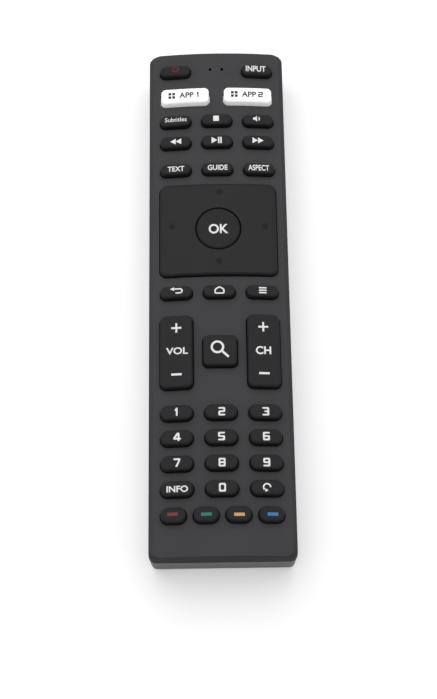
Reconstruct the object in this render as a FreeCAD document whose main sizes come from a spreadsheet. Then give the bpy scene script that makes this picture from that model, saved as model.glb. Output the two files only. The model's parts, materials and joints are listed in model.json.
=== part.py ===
import FreeCAD, Part
import math
import os
import re
import Sketcher

Vector = FreeCAD.Vector
Line = Part.LineSegment
Constraint = Sketcher.Constraint

doc = FreeCAD.newDocument("television_remote_control")
sizes = doc.addObject("Spreadsheet::Sheet", "sizes")

# Driving dimensions, in millimetres and degrees: alias, value, what it is
DIMENSIONS = [
    ("body_length", 180.6, "whole length of the case"),
    ("body_width", 47, "width where the two halves meet"),
    ("body_height", 20, "height at the middle of the crowned face"),
    ("parting_height", 12.4, "height of the line between the two halves"),
    ("crown_radius", 140, "radius of the face across the width"),
    ("plan_corner", 2.4, "corner radius seen from above"),
    ("side_lean", 0.15, "how far each side leans in up to the foot of the shoulder"),
    ("knee_lean", 0.45, "how far the shoulder leans in from its foot to its knee"),
    ("shoulder_lean", 3.2, "how far the shoulder leans in from its knee to the height of the crown"),
    ("shoulder_height", 3.4, "drop from the crown to the foot of the shoulder"),
    ("knee_height", 2.5, "drop from the crown to the knee of the shoulder"),
    ("end_lean", 0.25, "how far each end of the upper half leans in up to the crown"),
    ("hull_lean", 0.5, "how far the lower half draws in towards the floor"),
    ("hull_round", 2.2, "rounding of the bottom edge"),
    ("face_round", 0.3, "rounding of the edge of the face"),
    ("wall", 1.6, "wall of both halves"),
    ("floor_thickness", 1.5, "floor of the lower half and the battery door"),
    ("tongue_thickness", 0.7, "tongue that locates the two halves"),
    ("tongue_height", 1.2, "height of the tongue above the parting line"),
    ("seam_gap", 0.1, "play between the tongue and its rebate"),
    ("cell_diameter", 10.5, "AAA cell"),
    ("cell_length", 44.5, "AAA cell with its nub"),
    ("nub_diameter", 3.8, "positive nub of the cell"),
    ("nub_length", 0.9, "positive nub of the cell"),
    ("cell_gap", 0.15, "play above and below a cell"),
    ("cell_spacing", 0.6, "space between the two cells"),
    ("bay_side_gap", 0.3, "space beside a cell"),
    ("spring_room", 3.2, "length of a compressed battery spring"),
    ("bay_wall", 1.0, "walls round the battery bay"),
    ("bay_ceiling", 0.6, "wall between the cells and the board"),
    ("board_thickness", 1.0, "circuit board"),
    ("board_margin", 0.5, "space between the board and the walls"),
    ("board_corner", 2.5, "corner radius of the board and the mat"),
    ("mat_thickness", 0.8, "silicone sheet under the keys"),
    ("mat_margin", 0.4, "how far the mat stays inside the board"),
    ("key_travel", 0.8, "stroke of a key"),
    ("key_gap", 0.3, "gap round every key"),
    ("key_rise", 2.3, "how far a key stands above the face"),
    ("key_round", 0.9, "rounding of a key's top edge"),
    ("key_width", 10.5, "ordinary key"),
    ("key_length", 4.95, "ordinary key"),
    ("key_corner", 2.45, "corner radius of an ordinary key"),
    ("skirt_width", 0.7, "rim that keeps a key under the face"),
    ("skirt_thickness", 0.8, "rim that keeps a key under the face"),
    ("stem_diameter", 4.0, "stem with the contact pill"),
    ("stem_room", 0.4, "space round a stem in the mat"),
    ("contact_gap", 0.05, "space left under a pressed pill"),
    ("column_spacing", 14.2, "middle column to side column"),
    ("power_row", 8.0, "far end to the power key"),
    ("app_row", 18.25, "far end to the white keys"),
    ("stop_row", 27.8, "far end to the subtitles, stop and mute keys"),
    ("play_row", 36.1, "far end to the transport keys"),
    ("guide_row", 46.6, "far end to the text, guide and aspect keys"),
    ("pad_row", 68.95, "far end to the middle of the navigation pad"),
    ("home_row", 91.95, "far end to the back, home and menu keys"),
    ("rocker_row", 112.85, "far end to the rockers and the search key"),
    ("digit_row", 133.7, "far end to the first row of digits"),
    ("digit_pitch", 8.38, "row to row of the digits"),
    ("colour_row", 167.3, "far end to the colour keys"),
    ("colour_pitch", 10.27, "one colour key to the next"),
    ("app_spacing", 10.85, "middle to a white key"),
    ("app_width", 16.5, "white key"),
    ("app_length", 5.65, "white key"),
    ("app_corner", 1.6, "white key"),
    ("app_rise", 2.6, "how far a white key stands above the face"),
    ("app_round", 0.9, "rounding of a white key's top edge"),
    ("upper_key_length", 4.2, "keys above the rockers, but for the white keys and the text row"),
    ("upper_key_corner", 1.95, "the same keys and the text row"),
    ("text_key_length", 4.0, "text, guide and aspect keys"),
    ("colour_width", 8.1, "colour key"),
    ("pad_width", 39.2, "navigation pad"),
    ("pad_length", 33.6, "navigation pad"),
    ("pad_corner", 2.4, "navigation pad"),
    ("pad_rise", 1.5, "how far the pad stands above the face"),
    ("pad_round", 1.0, "rounding of the pad's top edge"),
    ("pad_plate", 2.2, "how far the pad's plate reaches below the edge of the face"),
    ("pad_stem_reach", 12.6, "middle of the pad to each of its four stems"),
    ("pad_tilt", 2.5, "how far the pad tips each way, in degrees"),
    ("ok_offset", 0.15, "OK key from the middle of the pad, towards the near end"),
    ("ok_diameter", 14.9, "OK key"),
    ("ok_gap", 0.35, "gap round the OK key"),
    ("ok_rise", 0.35, "how far the OK key stands above the pad"),
    ("ok_stem", 5.0, "stem of the OK key"),
    ("web_room", 0.8, "space between the OK key and the ring that carries the pad"),
    ("web_width", 2.0, "width of that ring"),
    ("web_foot", 0.5, "height of the ridges that the ring and the pad tip on"),
    ("ridge_width", 0.8, "width of a tipping ridge"),
    ("ridge_length", 5.0, "length of a rocker's tipping ridge"),
    ("ridge_corner", 0.2, "corner radius of a tipping ridge"),
    ("pivot_gap", 0.05, "play at a tipping ridge"),
    ("rocker_width", 10.7, "volume and channel rockers"),
    ("rocker_length", 25.1, "volume and channel rockers"),
    ("rocker_corner", 2.0, "volume and channel rockers"),
    ("rocker_rise", 2.3, "how far a rocker stands above the face"),
    ("rocker_stem_reach", 8.4, "middle of a rocker to each of its two stems"),
    ("rocker_tilt", 2.5, "how far a rocker tips each way, in degrees"),
    ("search_width", 11.2, "search key"),
    ("search_length", 10.6, "search key"),
    ("search_corner", 1.7, "search key"),
    ("hole_spacing", 2.05, "middle to each of the two small holes"),
    ("hole_row", 6.85, "far end to the two small holes"),
    ("hole_diameter", 1.1, "small holes"),
    ("pipe_gap", 0.1, "play round the light pipe"),
    ("pipe_depth", 1.0, "how deep the pipe's end lies in its hole"),
    ("pipe_flange", 2.6, "diameter of the pipe's foot"),
    ("lamp_height", 0.8, "status lamp"),
    ("lamp_width", 1.6, "status lamp"),
    ("microphone_diameter", 3.8, "microphone capsule"),
    ("microphone_height", 1.8, "microphone capsule"),
    ("gasket_wall", 0.9, "tube between the microphone and its hole"),
    ("window_width", 20.0, "infrared window"),
    ("window_height", 6.4, "infrared window"),
    ("window_corner", 1.2, "infrared window"),
    ("window_flange", 0.9, "rim inside the case round the window"),
    ("window_thickness", 1.0, "rim inside the case round the window"),
    ("ir_lamp_diameter", 5.0, "infrared lamp"),
    ("ir_lamp_length", 8.6, "infrared lamp"),
    ("ir_lamp_rim", 5.8, "infrared lamp's foot"),
    ("ir_lamp_rim_length", 1.0, "infrared lamp's foot"),
    ("ir_lamp_offset", 6.0, "infrared lamp from the middle"),
    ("ir_lamp_gap", 0.3, "space between the lamp and what it meets"),
    ("lead_width", 0.5, "wire of a leaded part"),
    ("lead_spacing", 1.27, "middle of a part to each wire"),
    ("screw_diameter", 2.2, "case screw"),
    ("screw_head", 4.0, "case screw"),
    ("screw_head_height", 1.4, "case screw"),
    ("screw_recess", 2.2, "how deep a screw's head lies in the floor"),
    ("screw_slot_length", 2.0, "cross slot of a screw"),
    ("screw_slot_width", 0.65, "cross slot of a screw"),
    ("screw_slot_depth", 0.7, "cross slot of a screw"),
    ("screw_bite", 3.4, "how far a screw goes into the upper half"),
    ("thread_play", 0.1, "space round a screw in the upper half"),
    ("screw_play", 0.2, "space round a screw in the lower half and the board"),
    ("boss_diameter", 6.0, "screw boss of the lower half"),
    ("upper_boss_diameter", 4.2, "screw boss of the upper half"),
    ("far_screw", 12.8, "far end to the first screw"),
    ("middle_screw", 100.9, "far end to the second screw"),
    ("boss_gap", 0.3, "space between a boss and the wall or bay beside it"),
    ("door_width", 36.0, "battery door, outside"),
    ("door_rim", 1.0, "rim of the door that runs in the floor"),
    ("door_rim_thickness", 0.7, "rim of the door that runs in the floor"),
    ("door_gap", 0.12, "play round the door"),
    ("door_overlap", 2.6, "how far the door reaches past the bay"),
    ("door_roof", 0.9, "wall of the lower half above the door"),
    ("grip_width", 14.0, "ribs to push the door"),
    ("grip_groove", 0.7, "width of a groove between the ribs"),
    ("grip_depth", 0.3, "depth of a groove between the ribs"),
    ("grip_corner", 0.25, "corner radius of a groove between the ribs"),
    ("grip_pitch", 1.5, "one groove to the next"),
    ("grip_offset", 3.0, "far end of the door to the first groove"),
    ("grip_count", 6, "number of grooves"),
    ("plate_thickness", 0.4, "battery contacts"),
    ("plate_width", 8.4, "battery contacts"),
    ("plate_height", 8.6, "battery contacts"),
    ("contact_play", 0.1, "space between a contact and what it meets"),
    ("dimple_diameter", 3.4, "button of a positive contact"),
    ("dimple_height", 0.5, "button of a positive contact"),
    ("tab_width", 1.6, "solder tab of a battery contact"),
    ("tab_play", 0.2, "space round a solder tab"),
    ("spring_wire", 0.5, "battery spring"),
    ("spring_foot", 6.4, "battery spring at the plate"),
    ("spring_tip", 4.0, "battery spring at the cell"),
    ("chip_size", 7.0, "main chip"),
    ("chip_height", 1.6, "main chip"),
    ("chip_row", 64.5, "far end to the main chip"),
    ("crystal_length", 11.0, "crystal"),
    ("crystal_width", 4.6, "crystal"),
    ("crystal_height", 3.5, "crystal"),
    ("crystal_corner", 2.2, "crystal"),
    ("crystal_row", 77.5, "far end to the crystal"),
    ("capacitor_diameter", 6.3, "storage capacitor"),
    ("capacitor_height", 7.0, "storage capacitor"),
    ("capacitor_row", 86.5, "far end to the storage capacitor"),
    ("module_width", 13.0, "wireless module"),
    ("module_length", 17.0, "wireless module"),
    ("module_board", 0.8, "wireless module"),
    ("module_can_height", 1.5, "shield of the wireless module"),
    ("module_can_inset", 1.2, "shield of the wireless module"),
    ("module_row", 36.5, "far end to the wireless module"),
]


ALIASES = {alias for alias, size, note in DIMENSIONS}

# What the openings of the face and the mat are cut for, and the finished sub-parts
KEYS = []
STEMS = []
SUBPARTS = []

# Heights worked out from the sizes
BOARD_FOOT = "(floor_thickness + 2 * cell_gap + cell_diameter + bay_ceiling)"
BOARD_TOP = f"({BOARD_FOOT} + board_thickness)"
MAT_TOP = f"({BOARD_TOP} + mat_thickness)"
SKIRT_FOOT = f"({MAT_TOP} + key_travel + contact_gap)"
PILL_FOOT = f"({BOARD_TOP} + key_travel + contact_gap)"
CROWN_CENTRE = "(body_height - crown_radius)"
PAD_EDGE_FACE = f"({CROWN_CENTRE} + sqrt(crown_radius ^ 2 - pad_width ^ 2 / 4))"
PAD_FOOT = f"({PAD_EDGE_FACE} - pad_plate)"
PIVOT_HEIGHT = f"({MAT_TOP} + pivot_gap)"
CELL_HEIGHT = "(floor_thickness + cell_gap + cell_diameter / 2)"
LAMP_AXIS = f"({BOARD_FOOT} - ir_lamp_rim / 2 - ir_lamp_gap)"

# Places along the case worked out from the sizes
OK_ROW = "(pad_row + ok_offset)"
BAY_LENGTH = "(2 * plate_thickness + spring_room + cell_length + dimple_height + contact_play)"
NEAR_SCREW = "(wall + boss_gap + boss_diameter / 2 - body_length / 2)"
BAY_START = f"({NEAR_SCREW} + boss_diameter / 2 + boss_gap)"
BAY_END = f"({BAY_START} + {BAY_LENGTH})"
BAY_HALF = "(cell_diameter + cell_spacing / 2 + bay_side_gap)"
CELL_SIDE = "((cell_diameter + cell_spacing) / 2)"
DOOR_END = f"({BAY_END} + bay_wall + door_overlap)"
WINDOW_FLANGE_FACE = "(body_length / 2 - wall - end_lean - contact_play)"
BOARD_LENGTH = "(body_length - 2 * (wall + window_thickness + board_margin))"
BOARD_WIDTH = "(body_width - 2 * (wall + side_lean / 2 + board_margin))"

# Spare height of a cut beyond the solid that it goes through
CUT_SPARE = "1"


def write_sheet():
    for row, (alias, size, note) in enumerate(DIMENSIONS, start=1):
        sizes.set(f"A{row}", alias)
        sizes.set(f"B{row}", str(size))
        sizes.set(f"C{row}", note)
        sizes.setAlias(f"B{row}", alias)
    doc.recompute()


def formula(text):
    """Spell a formula of size names as one that reads the sheet."""
    return re.sub(r"[a-z_]+", lambda word: sheet_word(word.group()), str(text))


def sheet_word(word):
    return f"sizes.{word}" if word in ALIASES else word


def number(text):
    return float(sizes.evalExpression(formula(text)))


def bind(thing, **properties):
    """Tie properties of an object to formulas: a__b in a keyword stands for a.b."""
    for name, text in properties.items():
        thing.setExpression(name.replace("__", "."), formula(text))
    return thing


def place(thing, x="0", y="0", z="0"):
    for axis, text in zip("xyz", (x, y, z)):
        thing.setExpression(f"Placement.Base.{axis}", formula(text))
    return thing


def from_far_end(distance):
    return f"(body_length / 2 - {distance})"


def origin_plane(body, role):
    return next(plane for plane in body.Origin.OriginFeatures if plane.Role == role)


def new_body(name):
    return doc.addObject("PartDesign::Body", name)


def new_sketch(body, role="XY_Plane", level="0"):
    """A sketch on a plane of its own body, moved along the plane's normal."""
    sketch = body.newObject("Sketcher::SketchObject", "Sketch")
    sketch.AttachmentSupport = (origin_plane(body, role), [""])
    sketch.MapMode = "FlatFace"
    sketch.setExpression("AttachmentOffset.Base.z", formula(level))
    return sketch


def name_and_bind(sketch, index, name, text):
    sketch.renameConstraint(index, name)
    sketch.setExpression(f"Constraints.{name}", formula(text))


def rounded_rectangle(sketch, width, length, corner, across="0", along="0"):
    """Four lines and four arcs, centred at (across, along)."""
    half_w = number(width) / 2
    half_l = number(length) / 2
    radius = number(corner)
    x = number(across)
    y = number(along)
    right = x + half_w
    left = x - half_w
    top = y + half_l
    foot = y - half_l
    quarter = math.pi / 2
    lines = [
        ((left + radius, foot), (right - radius, foot)),
        ((right, foot + radius), (right, top - radius)),
        ((right - radius, top), (left + radius, top)),
        ((left, top - radius), (left, foot + radius)),
    ]
    centres = [
        (right - radius, foot + radius),
        (right - radius, top - radius),
        (left + radius, top - radius),
        (left + radius, foot + radius),
    ]
    first = sketch.GeometryCount
    for start, end in lines:
        sketch.addGeometry(Line(Vector(*start, 0), Vector(*end, 0)))
    for turn, centre in enumerate(centres):
        circle = Part.Circle(Vector(*centre, 0), Vector(0, 0, 1), radius)
        start = (turn - 1) * quarter
        sketch.addGeometry(Part.ArcOfCircle(circle, start, start + quarter))
    for side in range(4):
        arc = first + 4 + side
        next_line = first + (side + 1) % 4
        sketch.addConstraint(Constraint("Tangent", first + side, 2, arc, 1))
        sketch.addConstraint(Constraint("Tangent", arc, 2, next_line, 1))
        if side:
            sketch.addConstraint(Constraint("Equal", first + 4, arc))
    for side, direction in enumerate(("Horizontal", "Vertical") * 2):
        sketch.addConstraint(Constraint(direction, first + side))
    prefix = f"outline{first}_"
    measures = [
        ("width", Constraint("DistanceX", first + 3, 1, first + 1, 1, 2 * half_w), width),
        ("length", Constraint("DistanceY", first, 1, first + 2, 1, 2 * half_l), length),
        ("corner", Constraint("Radius", first + 4, radius), corner),
        ("right", Constraint("DistanceX", -1, 1, first + 1, 1, right), f"{across} + {width} / 2"),
        ("top", Constraint("DistanceY", -1, 1, first + 2, 1, top), f"{along} + {length} / 2"),
    ]
    for name, constraint, text in measures:
        name_and_bind(sketch, sketch.addConstraint(constraint), prefix + name, text)


def circle(sketch, diameter, across="0", along="0"):
    x = number(across)
    y = number(along)
    index = sketch.addGeometry(Part.Circle(Vector(x, y, 0), Vector(0, 0, 1), number(diameter) / 2))
    measures = [
        ("diameter", Constraint("Diameter", index, number(diameter)), diameter),
        ("across", Constraint("DistanceX", -1, 1, index, 3, x), across),
        ("along", Constraint("DistanceY", -1, 1, index, 3, y), along),
    ]
    for name, constraint, text in measures:
        name_and_bind(sketch, sketch.addConstraint(constraint), f"circle{index}_{name}", text)


def polygon(sketch, points):
    """A closed outline through points given as pairs of formulas."""
    corners = [Vector(number(x), number(y), 0) for x, y in points]
    count = len(points)
    for index in range(count):
        sketch.addGeometry(Line(corners[index], corners[(index + 1) % count]))
    for index in range(count):
        sketch.addConstraint(Constraint("Coincident", index, 2, (index + 1) % count, 1))
    for index, (x, y) in enumerate(points):
        across = sketch.addConstraint(Constraint("DistanceX", -1, 1, index, 1, corners[index].x))
        name_and_bind(sketch, across, f"across{index}", x)
        along = sketch.addConstraint(Constraint("DistanceY", -1, 1, index, 1, corners[index].y))
        name_and_bind(sketch, along, f"along{index}", y)


def pad(body, sketch, height, both_ways=False):
    feature = body.newObject("PartDesign::Pad", "Pad")
    feature.Profile = sketch
    feature.SideType = "Symmetric" if both_ways else "One side"
    return bind(feature, Length=height)


def pocket(body, sketch, depth, both_ways=False, upwards=False):
    feature = body.newObject("PartDesign::Pocket", "Pocket")
    feature.Profile = sketch
    feature.SideType = "Symmetric" if both_ways else "One side"
    feature.Reversed = upwards
    return bind(feature, Length=depth)


def crown_cut(body, radius, centre_across, half_width, top, length):
    """Cut away all that lies above a cylinder that runs along the case."""
    sketch = new_sketch(body, "XZ_Plane")
    r = number(radius)
    x = number(centre_across)
    z = number(CROWN_CENTRE)
    reach = number(half_width)
    roof = number(top)
    rise_right = math.sqrt(r ** 2 - (reach - x) ** 2)
    rise_left = math.sqrt(r ** 2 - (reach + x) ** 2)
    right = Vector(reach, z + rise_right, 0)
    left = Vector(-reach, z + rise_left, 0)
    top_right = Vector(reach, roof, 0)
    top_left = Vector(-reach, roof, 0)
    round_line = Part.Circle(Vector(x, z, 0), Vector(0, 0, 1), r)
    start = math.atan2(rise_right, reach - x)
    end = math.atan2(rise_left, -reach - x)
    sketch.addGeometry(Part.ArcOfCircle(round_line, start, end))
    sketch.addGeometry(Line(left, top_left))
    sketch.addGeometry(Line(top_left, top_right))
    sketch.addGeometry(Line(top_right, right))
    for index, point in ((0, 2), (1, 2), (2, 2)):
        sketch.addConstraint(Constraint("Coincident", index, point, index + 1, 1))
    sketch.addConstraint(Constraint("Coincident", 3, 2, 0, 1))
    sketch.addConstraint(Constraint("Vertical", 1))
    sketch.addConstraint(Constraint("Horizontal", 2))
    sketch.addConstraint(Constraint("Vertical", 3))
    measures = [
        ("radius", Constraint("Radius", 0, r), radius),
        ("centre_across", Constraint("DistanceX", -1, 1, 0, 3, x), centre_across),
        ("centre_height", Constraint("DistanceY", -1, 1, 0, 3, z), CROWN_CENTRE),
        ("left", Constraint("DistanceX", -1, 1, 1, 1, -reach), f"-({half_width})"),
        ("right", Constraint("DistanceX", -1, 1, 2, 2, reach), half_width),
        ("roof", Constraint("DistanceY", -1, 1, 1, 2, roof), top),
    ]
    for name, constraint, text in measures:
        name_and_bind(sketch, sketch.addConstraint(constraint), name, text)
    return pocket(body, sketch, length, both_ways=True)


def crown_edges(shape, radius, centre_across):
    """Names of the edges that lie on the crowned top."""
    r = number(radius)
    x = number(centre_across)
    z = number(CROWN_CENTRE)
    names = []
    for index, edge in enumerate(shape.Edges, start=1):
        points = edge.discretize(5)
        if all(abs(math.hypot(p.x - x, p.z - z) - r) < 1e-4 for p in points):
            names.append(f"Edge{index}")
    return names


def fillet(body, base, names, radius):
    feature = body.newObject("PartDesign::Fillet", "Fillet")
    feature.Base = (base, names)
    return bind(feature, Radius=radius)


def crowned_prism(body, width, length, corner, foot, rise, rounding, x="0", along="0"):
    """A prism under the crown of the face, raised by rise, with its top edge rounded."""
    radius = f"(crown_radius + {rise})"
    spare_top = f"(body_height + {rise} + {CUT_SPARE})"
    sketch = new_sketch(body, level=foot)
    rounded_rectangle(sketch, width, length, corner, along=along)
    pad(body, sketch, f"{spare_top} - {foot}")
    crowned = crown_cut(body, radius, f"-({x})", f"{width} + {CUT_SPARE}",
                        f"{spare_top} + {CUT_SPARE}", f"4 * {length}")
    doc.recompute()
    fillet(body, crowned, crown_edges(crowned.Shape, radius, f"-({x})"), rounding)


def key(name, x, row, width="key_width", length="key_length", corner="key_corner",
        rise="key_rise", rounding="key_round"):
    """A push key: crowned cap, rim under the face and stem with its contact pill."""
    body = new_body(name)
    place(body, x, from_far_end(row))
    crowned_prism(body, width, length, corner, SKIRT_FOOT, rise, rounding, x)
    rim = new_sketch(body, level=SKIRT_FOOT)
    rounded_rectangle(rim, f"({width} + 2 * skirt_width)", f"({length} + 2 * skirt_width)",
                      f"({corner} + skirt_width)")
    pad(body, rim, "skirt_thickness")
    stem = new_sketch(body, level=PILL_FOOT)
    circle(stem, "stem_diameter")
    pad(body, stem, f"{SKIRT_FOOT} - {PILL_FOOT}")
    KEYS.append((name, x, row, width, length, corner))
    STEMS.append((x, row, "0", "stem_diameter"))
    SUBPARTS.append(body)
    return body


def push_keys():
    side = "column_spacing"
    upper = {"length": "upper_key_length", "corner": "upper_key_corner"}
    text = {"length": "text_key_length", "corner": "upper_key_corner"}
    white = {"width": "app_width", "length": "app_length", "corner": "app_corner",
             "rise": "app_rise", "rounding": "app_round"}
    key("key_power", f"-{side}", "power_row", **upper)
    key("key_input", side, "power_row", **upper)
    key("key_app_1", "-app_spacing", "app_row", **white)
    key("key_app_2", "app_spacing", "app_row", **white)
    upper_rows = [
        ("stop_row", ("key_subtitles", "key_stop", "key_mute"), upper),
        ("play_row", ("key_rewind", "key_play_pause", "key_fast_forward"), upper),
        ("guide_row", ("key_text", "key_guide", "key_aspect"), text),
        ("home_row", ("key_back", "key_home", "key_menu"), upper),
    ]
    for row, names, shape in upper_rows:
        for name, x in zip(names, (f"-{side}", "0", side)):
            key(name, x, row, **shape)
    key("key_search", "0", "rocker_row", width="search_width", length="search_length",
        corner="search_corner")
    digit_rows = [
        ("key_1", "key_2", "key_3"),
        ("key_4", "key_5", "key_6"),
        ("key_7", "key_8", "key_9"),
        ("key_info", "key_0", "key_recall"),
    ]
    for step, names in enumerate(digit_rows):
        for name, x in zip(names, (f"-{side}", "0", side)):
            key(name, x, f"(digit_row + {step} * digit_pitch)")
    for step, name in enumerate(("key_red", "key_green", "key_yellow", "key_blue")):
        key(name, f"({step - 1.5} * colour_pitch)", "colour_row", width="colour_width")


def ok_key():
    """Round key that passes through the pad and the ring under it."""
    body = new_body("key_ok")
    place(body, "0", from_far_end(OK_ROW))
    rise = "(pad_rise + ok_rise)"
    spare_top = f"(body_height + {rise} + {CUT_SPARE})"
    cap = new_sketch(body, level=SKIRT_FOOT)
    circle(cap, "ok_diameter")
    pad(body, cap, f"{spare_top} - {SKIRT_FOOT}")
    radius = f"(crown_radius + {rise})"
    crowned = crown_cut(body, radius, "0", "ok_diameter", f"{spare_top} + {CUT_SPARE}",
                        "2 * ok_diameter")
    doc.recompute()
    fillet(body, crowned, crown_edges(crowned.Shape, radius, "0"), "key_round")
    stem = new_sketch(body, level=PILL_FOOT)
    circle(stem, "ok_stem")
    pad(body, stem, f"{SKIRT_FOOT} - {PILL_FOOT}")
    STEMS.append(("0", OK_ROW, "0", "ok_stem"))
    SUBPARTS.append(body)


def navigation_pad():
    """Square plate round the OK key, tipped on the ring under it."""
    body = new_body("navigation_pad")
    place(body, "0", from_far_end(OK_ROW))
    crowned_prism(body, "pad_width", "pad_length", "pad_corner", PAD_FOOT, "pad_rise",
                  "pad_round", along="ok_offset")
    hole = new_sketch(body, level=PAD_FOOT)
    circle(hole, "(ok_diameter + 2 * ok_gap)")
    pocket(body, hole, "body_height", upwards=True)
    drop = "((pad_stem_reach + stem_diameter) * sin(pad_tilt * 1 deg) + contact_gap)"
    foot = f"({BOARD_TOP} + {drop})"
    stems = new_sketch(body, level=foot)
    for across, along in ((1, 0), (-1, 0), (0, 1), (0, -1)):
        circle(stems, "stem_diameter", f"({across} * pad_stem_reach)", f"({along} * pad_stem_reach)")
        STEMS.append((f"({across} * pad_stem_reach)", OK_ROW, f"({along} * pad_stem_reach)",
                      "stem_diameter"))
    pad(body, stems, f"{PAD_FOOT} - {foot}")
    SUBPARTS.append(body)


def navigation_web():
    """Rubber ring with two ridges under it and two above, so that the pad tips both ways."""
    body = new_body("navigation_web")
    place(body, "0", from_far_end(OK_ROW))
    inner = "(ok_diameter + 2 * web_room)"
    outer = f"({inner} + 2 * web_width)"
    foot = f"({PIVOT_HEIGHT} + web_foot)"
    top = f"({PAD_FOOT} - pivot_gap - web_foot)"
    ring = new_sketch(body, level=foot)
    circle(ring, outer)
    circle(ring, inner)
    pad(body, ring, f"{top} - {foot}")
    middle = f"(({inner} + web_width) / 2)"
    lower = new_sketch(body, level=PIVOT_HEIGHT)
    upper = new_sketch(body, level=top)
    for side in ("", "-"):
        rounded_rectangle(lower, "ridge_width", "(web_width / 2)", "ridge_corner",
                          along=f"{side}{middle}")
        rounded_rectangle(upper, "(web_width / 2)", "ridge_width", "ridge_corner",
                          across=f"{side}{middle}")
    pad(body, lower, "web_foot")
    pad(body, upper, "web_foot")
    SUBPARTS.append(body)


def rocker(name, x):
    """Long key that tips on a ridge under its middle, with a stem under each end."""
    body = new_body(name)
    place(body, x, from_far_end("rocker_row"))
    crowned_prism(body, "rocker_width", "rocker_length", "rocker_corner", SKIRT_FOOT,
                  "rocker_rise", "key_round", x)
    ridge = new_sketch(body, level=PIVOT_HEIGHT)
    rounded_rectangle(ridge, "ridge_length", "ridge_width", "ridge_corner")
    pad(body, ridge, f"{SKIRT_FOOT} - {PIVOT_HEIGHT}")
    drop = "((rocker_stem_reach + stem_diameter) * sin(rocker_tilt * 1 deg) + contact_gap)"
    foot = f"({BOARD_TOP} + {drop})"
    stems = new_sketch(body, level=foot)
    for side in ("", "-"):
        circle(stems, "stem_diameter", along=f"({side}rocker_stem_reach)")
        STEMS.append((x, "rocker_row", f"({side}rocker_stem_reach)", "stem_diameter"))
    pad(body, stems, f"{SKIRT_FOOT} - {foot}")
    SUBPARTS.append(body)


def lofted_block(name, sections):
    """Solid through rounded rectangles: (level, width, length, corner) from the foot up."""
    body = new_body(name)
    sketches = []
    for level, width, length, corner in sections:
        sketch = new_sketch(body, level=level)
        rounded_rectangle(sketch, width, length, corner)
        sketches.append(sketch)
    doc.recompute()
    loft = body.newObject("PartDesign::AdditiveLoft", "Loft")
    loft.Profile = sketches[0]
    loft.Sections = sketches[1:]
    loft.Ruled = True
    return body


def end_lean_at(level):
    return f"(end_lean * ({level} - parting_height) / (body_height - parting_height))"


def upper_block(name, inset, rounding=None):
    """The upper half as a full block; inset draws every wall in for the hollow."""
    roof_lean = f"(shoulder_lean * (knee_height + {CUT_SPARE}) / knee_height)"
    leans = [
        ("parting_height", "0"),
        ("(body_height - shoulder_height)", "side_lean"),
        ("(body_height - knee_height)", "(side_lean + knee_lean)"),
        (f"(body_height + {CUT_SPARE})", f"(side_lean + knee_lean + {roof_lean})"),
    ]
    body = lofted_block(name, [
        (level, f"(body_width - 2 * {inset} - 2 * {lean})",
         f"(body_length - 2 * {inset} - 2 * {end_lean_at(level)})", f"(plan_corner - {inset})")
        for level, lean in leans
    ])
    radius = f"(crown_radius - {inset})"
    crowned = crown_cut(body, radius, "0", "body_width", f"body_height + 2 * {CUT_SPARE}",
                        "2 * body_length")
    doc.recompute()
    if rounding:
        fillet(body, crowned, crown_edges(crowned.Shape, radius, "0"), rounding)
    return body


def lower_block(name, inset, floor, rounding=None):
    """The lower half as a full block, drawn in towards its rounded bottom edge."""
    body = new_body(name)
    sketch = new_sketch(body, level="parting_height")
    rounded_rectangle(sketch, f"(body_width - 2 * {inset})", f"(body_length - 2 * {inset})",
                      f"(plan_corner - {inset})")
    block = pad(body, sketch, f"parting_height - {floor}")
    block.Reversed = True
    bind(block, TaperAngle="-atan(hull_lean / parting_height)")
    doc.recompute()
    if rounding:
        level = number(floor)
        names = [f"Edge{index}" for index, edge in enumerate(block.Shape.Edges, start=1)
                 if abs(edge.BoundBox.ZMax - level) < 1e-6]
        fillet(body, block, names, rounding)
    return body


def prism(name, width, length, corner, foot, height, x="0", y="0"):
    """Rounded prism, used as a piece or as a cutter."""
    body = new_body(name)
    place(body, x, y)
    sketch = new_sketch(body, level=foot)
    rounded_rectangle(sketch, width, length, corner)
    pad(body, sketch, height)
    return body


def box(name, x, y, z, width, length, height):
    """Box centred on x, from y and z up."""
    solid = doc.addObject("Part::Box", name)
    bind(solid, Length=width, Width=length, Height=height)
    return place(solid, f"{x} - ({width}) / 2", y, z)


def cylinder(name, x, y, z, diameter, height):
    solid = doc.addObject("Part::Cylinder", name)
    bind(solid, Radius=f"({diameter}) / 2", Height=height)
    return place(solid, x, y, z)


def lying_cylinder(name, x, y, z, diameter, length):
    """Cylinder that starts at y and runs towards the far end."""
    solid = cylinder(name, x, y, z, diameter, length)
    solid.Placement.Rotation = FreeCAD.Rotation(Vector(1, 0, 0), -90)
    return solid


def fuse(name, parts):
    solid = doc.addObject("Part::MultiFuse", name)
    solid.Shapes = parts
    return solid


def cut(name, base, tool):
    solid = doc.addObject("Part::Cut", name)
    solid.Base = base
    solid.Tool = tool
    return solid


def common(name, parts):
    solid = doc.addObject("Part::MultiCommon", name)
    solid.Shapes = parts
    return solid


SCREW_ROWS = {
    "far": from_far_end("far_screw"),
    "middle": from_far_end("middle_screw"),
    "near": NEAR_SCREW,
}


def screw_cylinders(name, diameter, foot, height):
    return [cylinder(f"{name}_{place_name}", "0", y, foot, diameter, height)
            for place_name, y in SCREW_ROWS.items()]


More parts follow.
